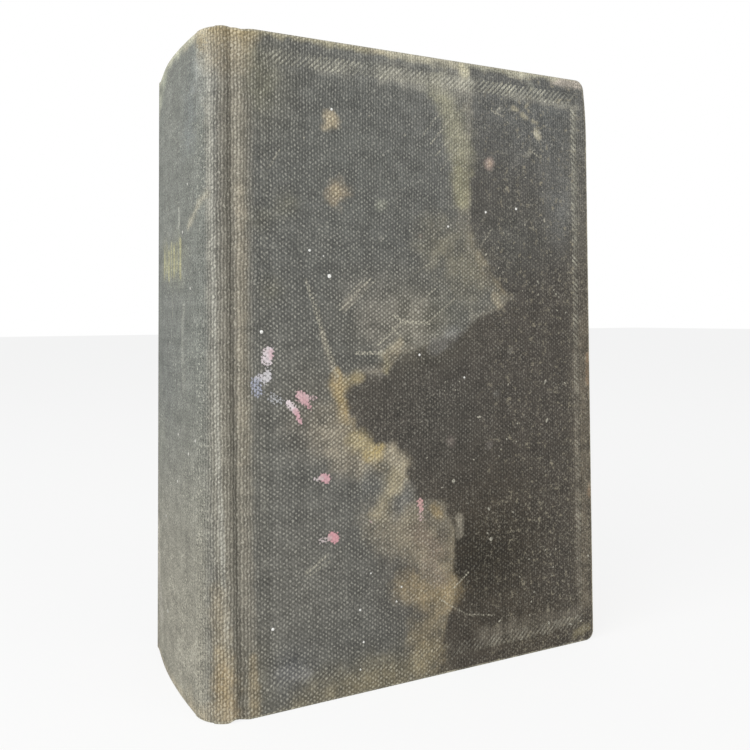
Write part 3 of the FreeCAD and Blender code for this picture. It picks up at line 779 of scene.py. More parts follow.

# The joint and the spine: the rubbed shoulder and the board's edge, either side of the groove, whose dark is
# painted shade laid on with the cloth's colour.
stains += [
    ("#a6a59c", 0.75, 0.8, [(-7.8, 216), (-7.6, 205), (-6.6, 160), (-5.3, 108), (-3.5, 60), (-1.5, 20),
        (-0.4, 0)]),
    ("#938f82", 0.4, 2.0, [(-8.2, 216), (-6.8, 150), (-5.6, 108), (-4.2, 60), (-2.0, 0)]),
    ("#8b8576", 0.4, 2.4, [(1.6, 216), (2.0, 185), (2.4, 160)]),
    ("#948b79", 0.5, 1.7, [(2.6, 165), (3.2, 120), (4.0, 80)]),
    ("#888173", 0.4, 1.6, [(4.2, 80), (5.6, 40), (7.3, 0)]),
    ("#a9976f", 0.9, 4.2, [(-10, 216), (3, 216)]),
    ("#9e9074", 0.5, 5.0, [(-7, 208), (0.5, 206)]),
    ("#a08d68", 0.28, 2.6, [(-4.6, 40), (-3.0, 20)]),
    ("#a08d68", 0.4, 3.2, [(-3.2, 20), (-1.6, 8)]),
    ("#a68f66", 0.6, 3.2, [(-3.4, 14), (-1.0, 0)]),
    ("#9f8d6a", 0.5, 1.7, [(6.4, 18), (7.2, 1)]),
    ("#a09a88", 0.5, 1.3, [(-8, 163), (-22, 154)]),
    ("#b1a993", 0.75, 1.8, [(-10, 215.4), (-26, 214.8)]),
    ("#b2b19d", 0.85, 2.6, [(-20, 216), (-80, 216)]),
    ("#a9ab97", 0.55, 4.0, [(-56, 214), (-70, 206)]),
    ("#a59980", 0.5, 4.0, [(-4, 2), (-18, 0.5)]),
    ("#a59c88", 0.5, 1.6, [(-18, 1.5), (-70, 0.8)]),
    ("#b3aea3", 0.45, 3.5, [(-60, 19), (-68, 30), (-70, 50)]),
    ("#8f9085", 0.45, 4.5, [(-57, 82), (-67, 82)]),
    ("#a2a298", 0.4, 1.2, [(-27, 100), (-28.5, 118), (-27, 128)]),
    ("#a2a298", 0.5, 0.9, [(-33, 161), (-33, 155)]),
    ("#a3a298", 0.4, 4.0, [(-12, 204), (-13, 196)]),
    ("#767e83", 0.22, 7.0, [(-16, 200), (-22, 186)]),
    ("#a6a294", 0.35, 5.0, [(-14, 20), (-30, 12)]),
    ("#9c9a7c", 0.3, 6.0, [(-34, 144), (-54, 144)]),
    ("#b0ab7e", 0.7, 1.0, [(-31, 150), (-31, 138)]),
    ("#a9a57c", 0.55, 0.9, [(-35.4, 149), (-35.4, 141)]),
    ("#b0ab7e", 0.65, 1.0, [(-39, 148.6), (-39.4, 138.6)]),
    ("#a9a57c", 0.5, 0.9, [(-43.4, 150), (-43.2, 139)]),
    ("#b0ab7e", 0.65, 1.0, [(-47.2, 147), (-47.2, 138)]),
    ("#a9a57c", 0.5, 0.9, [(-51, 149.4), (-51, 141)]),
    ("#b0ab7e", 0.6, 1.0, [(-55, 148), (-55.2, 139)]),
]

# Drops of paint, in the same way.
drops = [
    ("#d8cdcf", 0.8, 1.8, [(11.6, 113.4), (11.2, 110.6)]),
    ("#cfa9b0", 0.6, 0.7, [(12.6, 113.6), (12.4, 111.4)]),
    ("#c6c2c4", 0.58, 1.4, [(8.8, 105.4), (11.8, 105.4)]),
    ("#cfcccd", 0.58, 1.0, [(11.6, 107.4), (10.8, 103.6)]),
    ("#a5a8b6", 0.56, 1.9, [(7.4, 103.4), (8.4, 100.8)]),
    ("#a9a9aa", 0.5, 1.7, [(13.0, 98.6), (15.0, 97.6)]),
    ("#cdabae", 0.8, 1.7, [(22.4, 99.0), (23.8, 97.9)]),
    ("#c8aeb0", 0.6, 0.7, [(24, 98.3), (27.8, 98)]),
    ("#c59ca0", 0.62, 0.8, [(23.5, 98), (25.7, 94.8)]),
    ("#ddcfd1", 0.85, 1.1, [(18.5, 96.8), (20.7, 94.4)]),
    ("#cba2a8", 0.8, 0.8, [(20.7, 94.4), (22.3, 90.6)]),
    ("#c99ea3", 0.85, 1.4, [(30.1, 71.9), (31.6, 71.5)]),
    ("#c7bcbc", 0.58, 0.6, [(30, 71.8), (27.3, 71.8)]),
    ("#cc999e", 0.9, 1.6, [(33.2, 52.9), (34.4, 52.3)]),
    ("#b9aeac", 0.52, 0.9, [(32.4, 52.4), (29.6, 51.7)]),
    ("#c59e9a", 0.75, 1.1, [(66.5, 60.4), (66.8, 58.2)]),
    ("#b8a29e", 0.5, 1.0, [(66.6, 56.5), (66.8, 54.5)]),
    ("#bfa9a6", 0.5, 0.8, [(47.4, 55.8)]),
]

# The cloth's own colour, and one painted sheen: hex, how much of it, reach in s and in z, and the middle of
# the patch.
# Its last number is how clearly the weave shows there.
light_cloth, dark_cloth = "#5d5d59", "#443f39"
patches = [
    ("#6a675a", 0.6, 12, 16, (8, 200), 0.9),
    ("#7d7c75", 0.75, 34, 9, (70, 211), 0.5),
    ("#63645f", 0.6, 22, 30, (40, 175), 0.75),
    ("#73726c", 0.6, 12, 18, (76, 197), 0.7),
    ("#5a5a56", 0.5, 20, 20, (65, 150), 0.8),
    ("#696862", 0.6, 16, 26, (14, 108), 0.95),
    ("#6d6b64", 0.8, 30, 36, (18, 40), 0.85),
    ("#7b786d", 0.65, 9, 30, (-1, 82), 0.85),
    ("#6a655a", 0.5, 12, 14, (28, 96), 1.0),
    ("#67634f", 0.5, 16, 12, (66, 122), 1.0),
    ("#615f57", 0.5, 16, 18, (46, 122), 1.0),
    ("#5a5c60", 0.6, 7, 7, (18, 11.6), 0.9),
    ("#6a634f", 0.5, 24, 8, (48, 3), 0.8),
    ("#75705f", 0.6, 9, 14, (4, 10), 0.85),
    ("#6a6258", 0.4, 14, 20, (66, 40), 0.8),
    ("#5c5d5b", 0.9, 60, 34, (125, 203), 0.3),
    # Painted sheen: a paler patch with the weave washed out, standing in for light glancing off the cloth.
    ("#6e6e6b", 0.85, 8, 15, (130, 166), 0.15),
    ("#50504c", 0.6, 22, 16, (106, 152), 0.4),
    ("#45433e", 0.5, 22, 26, (75, 88), 0.55),
    ("#373025", 0.8, 34, 34, (95, 40), 0.3),
    ("#211c13", 0.85, 17, 12, (91, 38), 0.3),
    ("#41392c", 0.6, 22, 12, (112, 8), 0.3),
    ("#4f483d", 0.6, 8, 60, (139, 50), 0.25),
    ("#625e54", 0.4, 6, 60, (139, 150), 0.3),
    ("#5b4f3e", 0.4, 3, 24, (142, 108), 0.3),
]


def smooth_step(values):
    """Eases from 0 to 1."""
    values = np.clip(values, 0, 1)
    return values * values * (3 - 2 * values)


def ragged(s, z, size, seed):
    """Soft noise from -1 to 1 over the cloth, in lumps of a size in millimetres."""
    table = np.random.default_rng(seed).uniform(-1, 1, (128, 256))
    a, b = s / size + 400, z / size + 400
    i, j = np.floor(a).astype(int), np.floor(b).astype(int)
    share_a, share_b = smooth_step(a - i), smooth_step(b - j)
    low = table[i % 128, j % 256] * (1 - share_a) + table[(i + 1) % 128, j % 256] * share_a
    high = table[i % 128, (j + 1) % 256] * (1 - share_a) + table[(i + 1) % 128, (j + 1) % 256] * share_a
    return low * (1 - share_b) + high * share_b


def nearest(s, z, points):
    """Distance to a run of points, and how far along which stretch the nearest place lies."""
    best = np.full(s.shape, 1e9)
    part = np.zeros(s.shape)
    if len(points) == 1:
        return np.hypot(s - points[0][0], z - points[0][1]), part
    for i, (a, b) in enumerate(zip(points, points[1:])):
        ds, dz = b[0] - a[0], b[1] - a[1]
        t = np.clip(((s - a[0]) * ds + (z - a[1]) * dz) / (ds * ds + dz * dz), 0, 1)
        away = np.hypot(s - a[0] - t * ds, z - a[1] - t * dz)
        closer = away < best
        best = np.where(closer, away, best)
        part = np.where(closer, i + t, part)
    return best, part


def toward(colour, share, code):
    """Moves a colour by a share towards a hex colour."""
    return colour * (1 - share) + np.array(linear(code)[:3]) * share


def mix_into(colour, cover, near, code):
    """Lays a colour over a layer's colour, as strongly as near says, and adds to its cover."""
    whole = near + cover * (1 - near)
    blend = np.divide(near, whole, out=np.zeros_like(near), where=whole > 1e-6)
    return toward(colour, blend, code), whole


def lay_marks(s, z, marks, crisp, rough, colour, cover):
    """Lays marks over one another, each strongest along its line and ragged at its edge."""
    for index, (code, strength, width, points) in enumerate(marks):
        away, _ = nearest(s, z, points)
        if len(points) == 1:
            away = away * (1 + 0.35 * rough)
        bumps = rough * (0.4 if len(points) == 1 else 1.0)
        swell = 1 + bumps * (ragged(s, z, 1.0 + width * 0.7, index) + 0.5 * ragged(s, z, 1.1, index + 99))
        soft = min(max(width / 4, crisp), 0.95)
        near = strength * smooth_step((1.0 + soft - away / (width * np.maximum(swell, 0.3))) / (2 * soft))
        colour, cover = mix_into(colour, cover, near[:, None], code)
    return colour, cover


def dress(mesh, s, z, u, v, worn, photographed, rub="#b3ad98"):
    """Stores the cloth's colour, stains, paint and weave on a mesh, point by point, with painted shade in the
    joint's groove and a painted sheen among its patches.
    """
    count = len(s)
    ground_colour = np.tile(np.array(linear(light_cloth)[:3]), (count, 1))
    clear = np.full((count, 1), 0.8)
    none = np.zeros((count, 1))
    stain_colour, stain_cover = np.tile(np.array(linear(damp_grey)[:3]), (count, 1)), none
    paint_colour, paint_cover = np.tile(np.array(linear("#cdb9b9")[:3]), (count, 1)), none
    if photographed:
        loose_s = s + 1.2 * ragged(s, z, 6, 1) + 0.7 * ragged(s, z, 2, 2)
        loose_z = z + 1.2 * ragged(s, z, 6, 3) + 0.7 * ragged(s, z, 2, 4)
        line = [row[:2] for row in tide]
        away, part = nearest(loose_s, loose_z, line)
        region = [(200, 216)] + line + [(200, 0)]
        inside = np.zeros(count, dtype=bool)
        for (a, b), (c, d) in zip(region, region[1:] + region[:1]):
            crosses = (b > loose_z) != (d > loose_z)
            with np.errstate(divide="ignore", invalid="ignore"):
                inside ^= crosses & (loose_s < (c - a) * (loose_z - b) / (d - b) + a)
        signed = np.where(inside, away, -away)
        dark = smooth_step((signed + 1.2) / 3.0)[:, None]
        ground_colour = toward(ground_colour, dark, dark_cloth)
        clear = clear * (1 - dark) + 0.42 * dark
        for code, strength, reach_s, reach_z, (a, b), shown in patches:
            near = strength * np.exp(-((s - a) / reach_s) ** 2 - ((z - b) / reach_z) ** 2)[:, None]
            ground_colour = toward(ground_colour, near, code)
            clear = clear * (1 - near) + shown * near
        power, width, brown = (np.interp(part, range(len(tide)), [row[i] for row in tide]) for i in (2, 3, 4))
        outward = np.where(signed > 0, np.exp(-(signed / 0.8) ** 2), np.exp(-(signed / width) ** 2))
        outward = outward * (0.85 + 0.35 * ragged(s, z, 4, 5))
        damp = toward(np.array(linear(damp_grey)[:3]), brown[:, None], damp_brown)
        stain_colour, stain_cover = damp, np.clip(power * outward, 0, 1)[:, None]
        stain_colour, stain_cover = lay_marks(s, z, stains, 0.6, 0.36, stain_colour, stain_cover)
        paint_colour, paint_cover = lay_marks(s, z, drops, 0.35, 0.2, paint_colour, paint_cover)
        joint = np.exp(-((s - 0.5) / 5.5) ** 4)[:, None] * 0.8
        ground_colour = toward(ground_colour, joint, "#7b766a")
        # Painted shade: the cloth is darkened along the bottom of the joint's groove.
        groove = np.exp(-((s - groove_line(z)) / 1.0) ** 2)[:, None]
        ground_colour = ground_colour * (1 - 0.28 * groove)
        spine = smooth_step((-5.0 - s) / 6)[:, None]
        low = smooth_step((120 - z) / 100)[:, None]
        rubbed = toward(np.array(linear("#70726c")[:3]), low, "#878478")
        ground_colour = ground_colour * (1 - spine) + rubbed * spine
        worn_dark = (0.75 * spine[:, 0] * np.exp(-((s + 52) / 22) ** 2 - ((z - 108) / 34) ** 2))[:, None]
        ground_colour = toward(ground_colour, worn_dark, "#686a66")
        clear = clear * (1 - joint) + 0.72 * joint
        clear = clear * (1 - spine) + 0.12 * spine
    else:
        near = np.exp(-np.minimum(z, book_tall - z) / 14)[:, None] * 0.4
        ground_colour = toward(ground_colour, near, "#615c4c")
        clear = clear * 0.75
    edge = (0.75 * worn * (0.75 + 0.5 * ragged(s, z, 2.2, 6)))[:, None]
    stain_colour, stain_cover = mix_into(stain_colour, stain_cover, np.clip(edge, 0, 1), rub)
    for name, colour, cover in (("ground", ground_colour, clear), ("stain", stain_colour, stain_cover),
                                ("paint", paint_colour, paint_cover)):
        layer = mesh.color_attributes.new(name, "FLOAT_COLOR", "POINT")
        layer.data.foreach_set("color", np.hstack([colour, cover]).ravel())
    corner = np.empty(len(mesh.loops), dtype=int)
    mesh.loops.foreach_get("vertex_index", corner)
    threads = mesh.uv_layers.new(name="cloth")
    threads.data.foreach_set("uv", np.stack([u[corner], v[corner]], axis=1).ravel())


# Cover cloth. One sheet wraps each board and is turned in over its head, tail and fore edge, and
# runs on over the joint, where it was pressed down into a groove that leans a little. A border
# is stamped into it.
edge_round = 0.9
corner_radius = 3.5
turn_reach = 15.0
groove_sink = 0.8
joint_thickness = 0.7
board_step = 0.3
border_edge, border_joint, border_wide, border_sink = 5.2, 8.6, 5.8, 0.12
wrap = [
    (0.78, 0.01), (0.5, 0.09), (0.24, 0.26), (0.07, 0.5), (0.0, 0.9), (0.0, 2.0), (0.0, 3.2), (0.08, 3.5),
    (0.3, 3.78), (0.65, 3.9), (2.4, 3.9), (3.6, 3.9), (9.0, 3.9), (turn_reach, 3.9), (turn_reach, 3.6),
]


def groove_line(z):
    """How far from the hinge the bottom of the front joint's groove lies at a height."""
    below = 1 - 2 * z / book_tall
    return 0.1 + 2.2 * below + 0.95 * below ** 2


def arc_drop(s):
    """How far the round of the shoulder has fallen away from the cover's face."""
    return shoulder_round - np.sqrt(np.maximum(shoulder_round ** 2 - np.maximum(arc_start - s, 0) ** 2, 0))


def cover_depth(s, z, leaning):
    """How deep the joint's groove and the border lie in the cloth."""
    middle = groove_line(z) if leaning else np.full_like(s, 0.6)
    off = s - middle
    arc_at = arc_drop(middle)
    board_side = (board_step + arc_at + groove_sink) * (1 - smooth_step(off / 3.0))
    on_arc = s < arc_start
    spine_side = np.where(on_arc, 0.0, board_step) + groove_sink * np.exp(-(off / 1.15) ** 2)
    board_on_arc = board_side - arc_drop(s)
    depth = np.where(off > 0, np.where(on_arc, board_on_arc, board_side), spine_side)
    low = np.minimum(z, book_tall - z)
    fore = cover_wide - s
    rim = np.minimum(np.minimum(low, fore) - border_edge, s - border_joint)
    sunk = smooth_step((rim + 0.1) / 0.2) * (1 - smooth_step((rim - border_wide + 0.1) / 0.2))
    return depth + border_sink * sunk


def on_cloth(s, z, depth, side):
    """A point of the sheet in metres: round the shoulder near the spine, and flat on the board."""
    angle = np.maximum(arc_start - s, 0) / shoulder_round
    reach = shoulder_round - depth
    arc_x = arc_start - reach * np.sin(angle)
    arc_y = shoulder_y + reach * np.cos(angle)
    flat = s >= arc_start
    x = np.where(flat, s, arc_x)
    away = np.where(flat, book_half - depth, arc_y)
    return np.stack([hinge_x + x / 1000, side * away / 1000, z / 1000], axis=1)


def spine_settle(s, z):
    """How far the cap and the tail of the spine have sunk at the corner away from the front cover."""
    near = np.exp(-((s + 67) / 11) ** 2) * smooth_step((s + 85) / 6)
    return near * (1.6 * smooth_step((18 - z) / 18) - 2.2 * smooth_step((z - 196) / 20))


def corner_crush(s, z):
    """How far the fore edge is knocked in towards its head corner."""
    return 1.5 * (np.maximum(z - 193, 0) / 22) ** 2 * np.clip(s / cover_wide, 0, 1) ** 8


def cloth_lines(start, end, fixed, spacing, fine_end=None, fine=0.3):
    """Places of the sheet's grid lines, finer in the joint and exact where the form has an edge."""
    lines = []
    if fine_end is not None:
        lines += list(np.linspace(start, fine_end, int(round((fine_end - start) / fine)) + 1))
        start = fine_end
    lines += list(np.linspace(start, end, int(round((end - start) / spacing)) + 1))
    kept = [x for x in lines if all(abs(x - f) > 0.3 * spacing for f in fixed)]
    return np.array(sorted(set(kept + list(fixed))))


def make_cover(name, side, leaning, spacing):
    """The sheet over one cover, from the seam on the shoulder to the turn-ins."""
    far = cover_wide - edge_round
    turn_s = cover_wide - corner_radius
    fixed_s = [seam_s, turn_s, far]
    for edge in (border_joint, border_joint + border_wide, cover_wide - border_edge,
                 cover_wide - border_edge - border_wide):
        fixed_s += [edge - 0.1, edge + 0.1]
    fixed_z = [edge_round, corner_radius, book_tall - corner_radius, book_tall - edge_round]
    for edge in (border_edge, border_edge + border_wide):
        fixed_z += [edge - 0.1, edge + 0.1, book_tall - edge - 0.1, book_tall - edge + 0.1]
    line_s = cloth_lines(seam_s, far, fixed_s, spacing, 6.4, 0.4)
    line_z = cloth_lines(edge_round, book_tall - edge_round, fixed_z, spacing)
    ns, nz = len(line_s), len(line_z)
    s, z = (grid.ravel() for grid in np.meshgrid(line_s, line_z, indexing="ij"))
    ds = np.maximum(s - turn_s, 0)
    dz = np.where(z < corner_radius, z - corner_radius, np.maximum(z - (book_tall - corner_radius), 0))
    length = np.hypot(ds, dz)
    pull = np.divide(np.maximum(ds, np.abs(dz)), length, out=np.ones_like(length), where=length > 1e-9)
    s = s + ds * (pull - 1)
    z = z + dz * (pull - 1)
    depth = cover_depth(s, z, leaning)
    number = np.arange(ns * nz).reshape(ns, nz)
    faces = [(number[i, j], number[i + 1, j], number[i + 1, j + 1], number[i, j + 1])
             for i in range(ns - 1) for j in range(nz - 1)]
    border = list(number[:-1, 0]) + list(number[-1, :-1]) + list(number[::-1, -1])
    rim_s, rim_z = s[border], z[border]
    past_s = np.maximum(rim_s - turn_s, 0)
    past_z = np.where(rim_z < corner_radius, rim_z - corner_radius,
                      np.maximum(rim_z - (book_tall - corner_radius), 0))
    size = np.hypot(past_s, past_z)
    out_s, out_z = past_s / size, past_z / size
    all_s, all_z, all_d, all_u, all_v = [s], [z], [depth], [s], [z]
    worn = [np.zeros(len(s))]
    travel = 0.0
    before = (edge_round, 0.0)
    last = np.array(border)
    base = len(s)
    for inset, sink in wrap:
        travel += math.hypot(inset - before[0], sink - before[1])
        before = (inset, sink)
        radius = max(corner_radius - inset, 0.2)
        centre_s, centre_z = cover_wide - inset - radius, inset + radius
        scale = (centre_s - seam_s) / (turn_s - seam_s)
        loop_s = seam_s + (np.minimum(rim_s, turn_s) - seam_s) * scale + out_s * radius
        span = (book_tall / 2 - centre_z) / (book_tall / 2 - corner_radius)
        inner_z = np.clip(rim_z, corner_radius, book_tall - corner_radius)
        loop_z = book_tall / 2 + (inner_z - book_tall / 2) * span + out_z * radius
        outer = cover_depth(rim_s, rim_z, leaning)
        board = smooth_step((loop_s - 1.9) / 0.7)
        thick = joint_thickness * (1 - board) + (cover_deep - outer) * board
        loop_d = outer + thick * sink / cover_deep
        all_s.append(loop_s)
        all_z.append(loop_z)
        all_d.append(loop_d)
        all_u.append(rim_s + out_s * travel)
        all_v.append(rim_z + out_z * travel)
        worn.append(np.full(len(border), 1.0 if sink < 3.6 else 0.25))
        new = np.arange(base, base + len(border))
        faces += [(last[i], new[i], new[i + 1], last[i + 1]) for i in range(len(border) - 1)]
        last = new
        base += len(border)
    s, z, depth, u, v = (np.concatenate(parts) for parts in (all_s, all_z, all_d, all_u, all_v))
    dip = 0.6 * np.exp(-((s - 2.5) / 2.6) ** 2) * np.maximum((z - 200) / 16, 0) ** 2
    notch = 0.9 * np.exp(-((s - 1.2) / 1.5) ** 2) * np.maximum((12 - z) / 12, 0) ** 2
    settled = spine_settle(2 * spine_middle - s, z) if side > 0 else notch - dip
    points = on_cloth(s - corner_crush(s, z), z + settled, depth, side)
    if side > 0:
        faces = [face[::-1] for face in faces]
    mesh = new_mesh(name, points, faces)
    u = u if side < 0 else 2 * spine_middle - u
    dress(mesh, s, z, u, v, np.concatenate(worn), side < 0)
    return mesh


for name, side in (("front", -1), ("back", 1)):
    mesh = make_cover(name + "_cover_sheet", side, side < 0, 0.68 if side < 0 else 1.4)
    cloth = new_piece(name + "_cover_sheet", mesh, book_cloth)
    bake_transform(cloth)
    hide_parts(name + "_cover_cloth")


# Spine cloth. The same cloth over the rounded back, rubbed smooth and grey, turned in over the
# card at the head and the tail.
spine_turns = [
    (0.0, 0.85), (0.03, 0.6), (0.16, 0.32), (0.4, 0.1), (0.8, 0.0), (1.2, 0.1), (1.45, 0.35), (1.58, 0.7),
    (1.6, 1.2), (1.6, 12.0), (1.15, 12.0), (1.15, 0.5), (0.45, 0.5),
]


def spine_point(s, depth):
    """A point of the spine's outline, in millimetres, at a place along it and a depth under it."""
    shoulder_end = arc_start - shoulder_round * flat_turn
    middle = shoulder_end - spine_span / 2
    mirrored = s < middle
    t = np.where(mirrored, 2 * middle - s, s)
    angle = (arc_start - t) / shoulder_round
    on_shoulder = t > shoulder_end
    swing = (t - middle) / crown_round
    reach = np.where(on_shoulder, shoulder_round - depth, crown_round - depth)
    x = np.where(on_shoulder, arc_start - reach * np.sin(angle), crown_x - reach * np.cos(swing))
    y = np.where(on_shoulder, shoulder_y + reach * np.cos(angle), reach * np.sin(swing))
    return x, np.where(mirrored, -y, y)


far_seam = 2 * (arc_start - shoulder_round * flat_turn - spine_span / 2) - seam_s
line_s = np.linspace(seam_s, far_seam, 97)
outer_z = np.linspace(0.85, book_tall - 0.85, 216)
head_turn = [(depth, book_tall - z) for depth, z in spine_turns[1:]]
tail_turn = list(reversed(spine_turns[1:]))
section = [(0.0, z) for z in outer_z] + head_turn + tail_turn
count = len(section)
s = np.repeat(line_s, count)
depth = np.tile([d for d, _ in section], len(line_s))
z = np.tile([h for _, h in section], len(line_s))
x, y = spine_point(s, depth)
points = np.stack([hinge_x + x / 1000, -y / 1000, (z + spine_settle(s, z)) / 1000], axis=1)
faces = [(i * count + j, i * count + (j + 1) % count, (i + 1) * count + (j + 1) % count, (i + 1) * count + j)
         for i in range(len(line_s) - 1) for j in range(count)]
v = np.where(z > book_tall / 2, z + depth, z - depth)
mesh = new_mesh("spine_cloth", points, faces)
worn = np.where((depth > 0.02) & (depth < 1.5), 0.9, 0.0)
dress(mesh, s, z, s, v, worn, True)
spine = new_piece("spine_sheet", mesh, book_cloth)
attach(spine, "book_block")
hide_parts("spine_cloth")

card_s, card_z = np.linspace(-16.5, -66.3, 33), np.linspace(0.6, 215.4, 44)
s, z = (grid.ravel() for grid in np.meshgrid(card_s, card_z, indexing="ij"))
shells = []
for depth in (0.47, 1.13):
    x, y = spine_point(s, np.full(len(s), depth))
    shells.append(np.stack([hinge_x + x / 1000, -y / 1000, (z + spine_settle(s, z)) / 1000], axis=1))
outer = np.arange(len(s)).reshape(len(card_s), len(card_z))
faces = []
for number in (outer, outer + len(s)):
    faces += [(number[i, j], number[i + 1, j], number[i + 1, j + 1], number[i, j + 1])
              for i in range(len(card_s) - 1) for j in range(len(card_z) - 1)]
rim = list(outer[:-1, 0]) + list(outer[-1, :-1]) + list(outer[:0:-1, -1]) + list(outer[0, :0:-1])
faces += [(a, b, b + len(s), a + len(s)) for a, b in zip(rim, rim[1:] + rim[:1])]
mesh = new_mesh("spine_card", np.concatenate(shells), faces)
mend_normals(mesh)
card = new_piece("spine_card", mesh, pulp_board)
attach(card, "book_block")
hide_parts("spine_inlay")


# Stamped border. A frame of slanting strokes like a twisted rope, pressed blind into the cloth of
# both covers with a heated brass, so the strokes stand in the sunk band. They are long at the
# head and the tail and short beside the joint and the fore edge.
stroke_spacing = 0.002
stroke_wear = [
    (0.55, (10, 208), (28, 208)), (0.9, (30, 207), (39, 207)), (0.5, (40, 208), (52, 208)),
    (1.0, (54, 207.5), (86, 207.5)), (0.5, (88, 207), (100, 208)), (0.85, (102, 207.5), (136, 207.5)),
    (0.6, (136, 200), (136, 150)), (0.4, (136, 148), (136, 100)), (0.3, (136, 100), (136, 20)),
    (0.4, (100, 8), (136, 8)), (0.25, (86, 8), (100, 8)),
]
stroke_long, stroke_wide, stroke_high = 0.0074, 0.00115, 0.00009

ends = [
    (-0.5, 0), (-0.42, -0.4), (-0.15, -0.5), (0.15, -0.42), (0.42, -0.4), (0.5, 0), (0.42, 0.4),
    (0.12, 0.5), (-0.15, 0.42), (-0.42, 0.4),
]
rim_points = [(a * stroke_long, b * stroke_wide, -0.00005) for a, b in ends]
top_points = [(a * stroke_long * 0.9, b * stroke_wide * 0.6, stroke_high) for a, b in ends]
count = len(ends)
faces = [(i, (i + 1) % count, count + (i + 1) % count, count + i) for i in range(count)]
faces += [tuple(range(count, 2 * count)), tuple(reversed(range(count)))]
stroke = new_mesh("stroke", rim_points + top_points, faces)
stroke.polygons.foreach_set("use_smooth", [True] * len(faces))
rope = row_tree("stamped_strokes", stroke, book_cloth)
border_lines = [
    ((12, 8), (135, 8), 1.0), ((136.2, 13), (136.2, 203), 0.55), ((135, 208), (12, 208), 1.0),
    ((10.4, 203), (10.4, 13), 0.55),
]
for name, side in (("front", -1), ("back", 1)):
    runs = []
    for start, end, stretch in border_lines:
        line = [Vector((hinge_x + s / 1000, side * (face_y - border_sink / 1000), z / 1000))
                for s, z in (start, end)]
        path = new_mesh(name + "_run", line, [], [(0, 1)])
        runs.append(grow(name + "_run", path, rope, Spacing=stroke_spacing, Facing=(0.0, float(side), 0.0),
                         Lean=math.radians(45), Stretch=stretch))
    joined = bmesh.new()
    for run in runs:
        joined.from_mesh(run.data)
        bpy.data.objects.remove(run)
    mesh = bpy.data.meshes.new(name + "_border_strokes")
    joined.to_mesh(mesh)
    joined.free()
    spots = np.empty(3 * len(mesh.vertices))
    mesh.vertices.foreach_get("co", spots)
    spots = spots.reshape(-1, 3) * 1000
    s, z = spots[:, 0] - hinge_x * 1000, spots[:, 2]
    rubbed = np.full(len(s), 0.15)
    for strength, start, end in stroke_wear if side < 0 else ():
        away, _ = nearest(s, z, [start, end])
        rubbed = np.maximum(rubbed, strength * smooth_step((7 - away) / 4))
    rubbed = rubbed * (0.85 + 0.5 * ragged(s, z, 4, 7) + 0.9 * ragged(s, z, 1.3, 8))
    dress(mesh, s, z, s if side < 0 else 2 * spine_middle - s, z, rubbed, side < 0, "#b6b3a2")
    strokes = new_piece(name + "_border_strokes", mesh, book_cloth)
    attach(strokes, name + "_cover")


# Specks. Splashes of white paint, dried hard in small round beads on the threads, and flat chips
# where the fill has flaked away to the bare grey cotton.
# Dried emulsion paint: chalky white, and dull grey where a speck is bare cotton.
white_bead, tree = new_material("dried_white_paint")
place = add(tree, "ShaderNodeTexCoord").outputs["Object"]
dirt = add(tree, "ShaderNodeTexNoise", {"Vector": place, "Scale": 2200.0, "Detail": 3.0})
tint = add(tree, "ShaderNodeAttribute", attribute_name="tint").outputs["Fac"]
fresh = add(tree, "ShaderNodeValToRGB", dirt, stops=[(0.35, "#c9c8c2"), (0.6, "#efeeea")])
flaked = add(tree, "ShaderNodeValToRGB", dirt, stops=[(0.38, "#6f6d64"), (0.62, "#aca797")])
bead_colour = add(tree, "ShaderNodeMix", {0: tint, 6: fresh, 7: flaked}, data_type="RGBA")
add(tree, "ShaderNodeOutputMaterial", add(tree, "ShaderNodeBsdfPrincipled", {
    "Base Color": bead_colour, "Roughness": 0.6}))

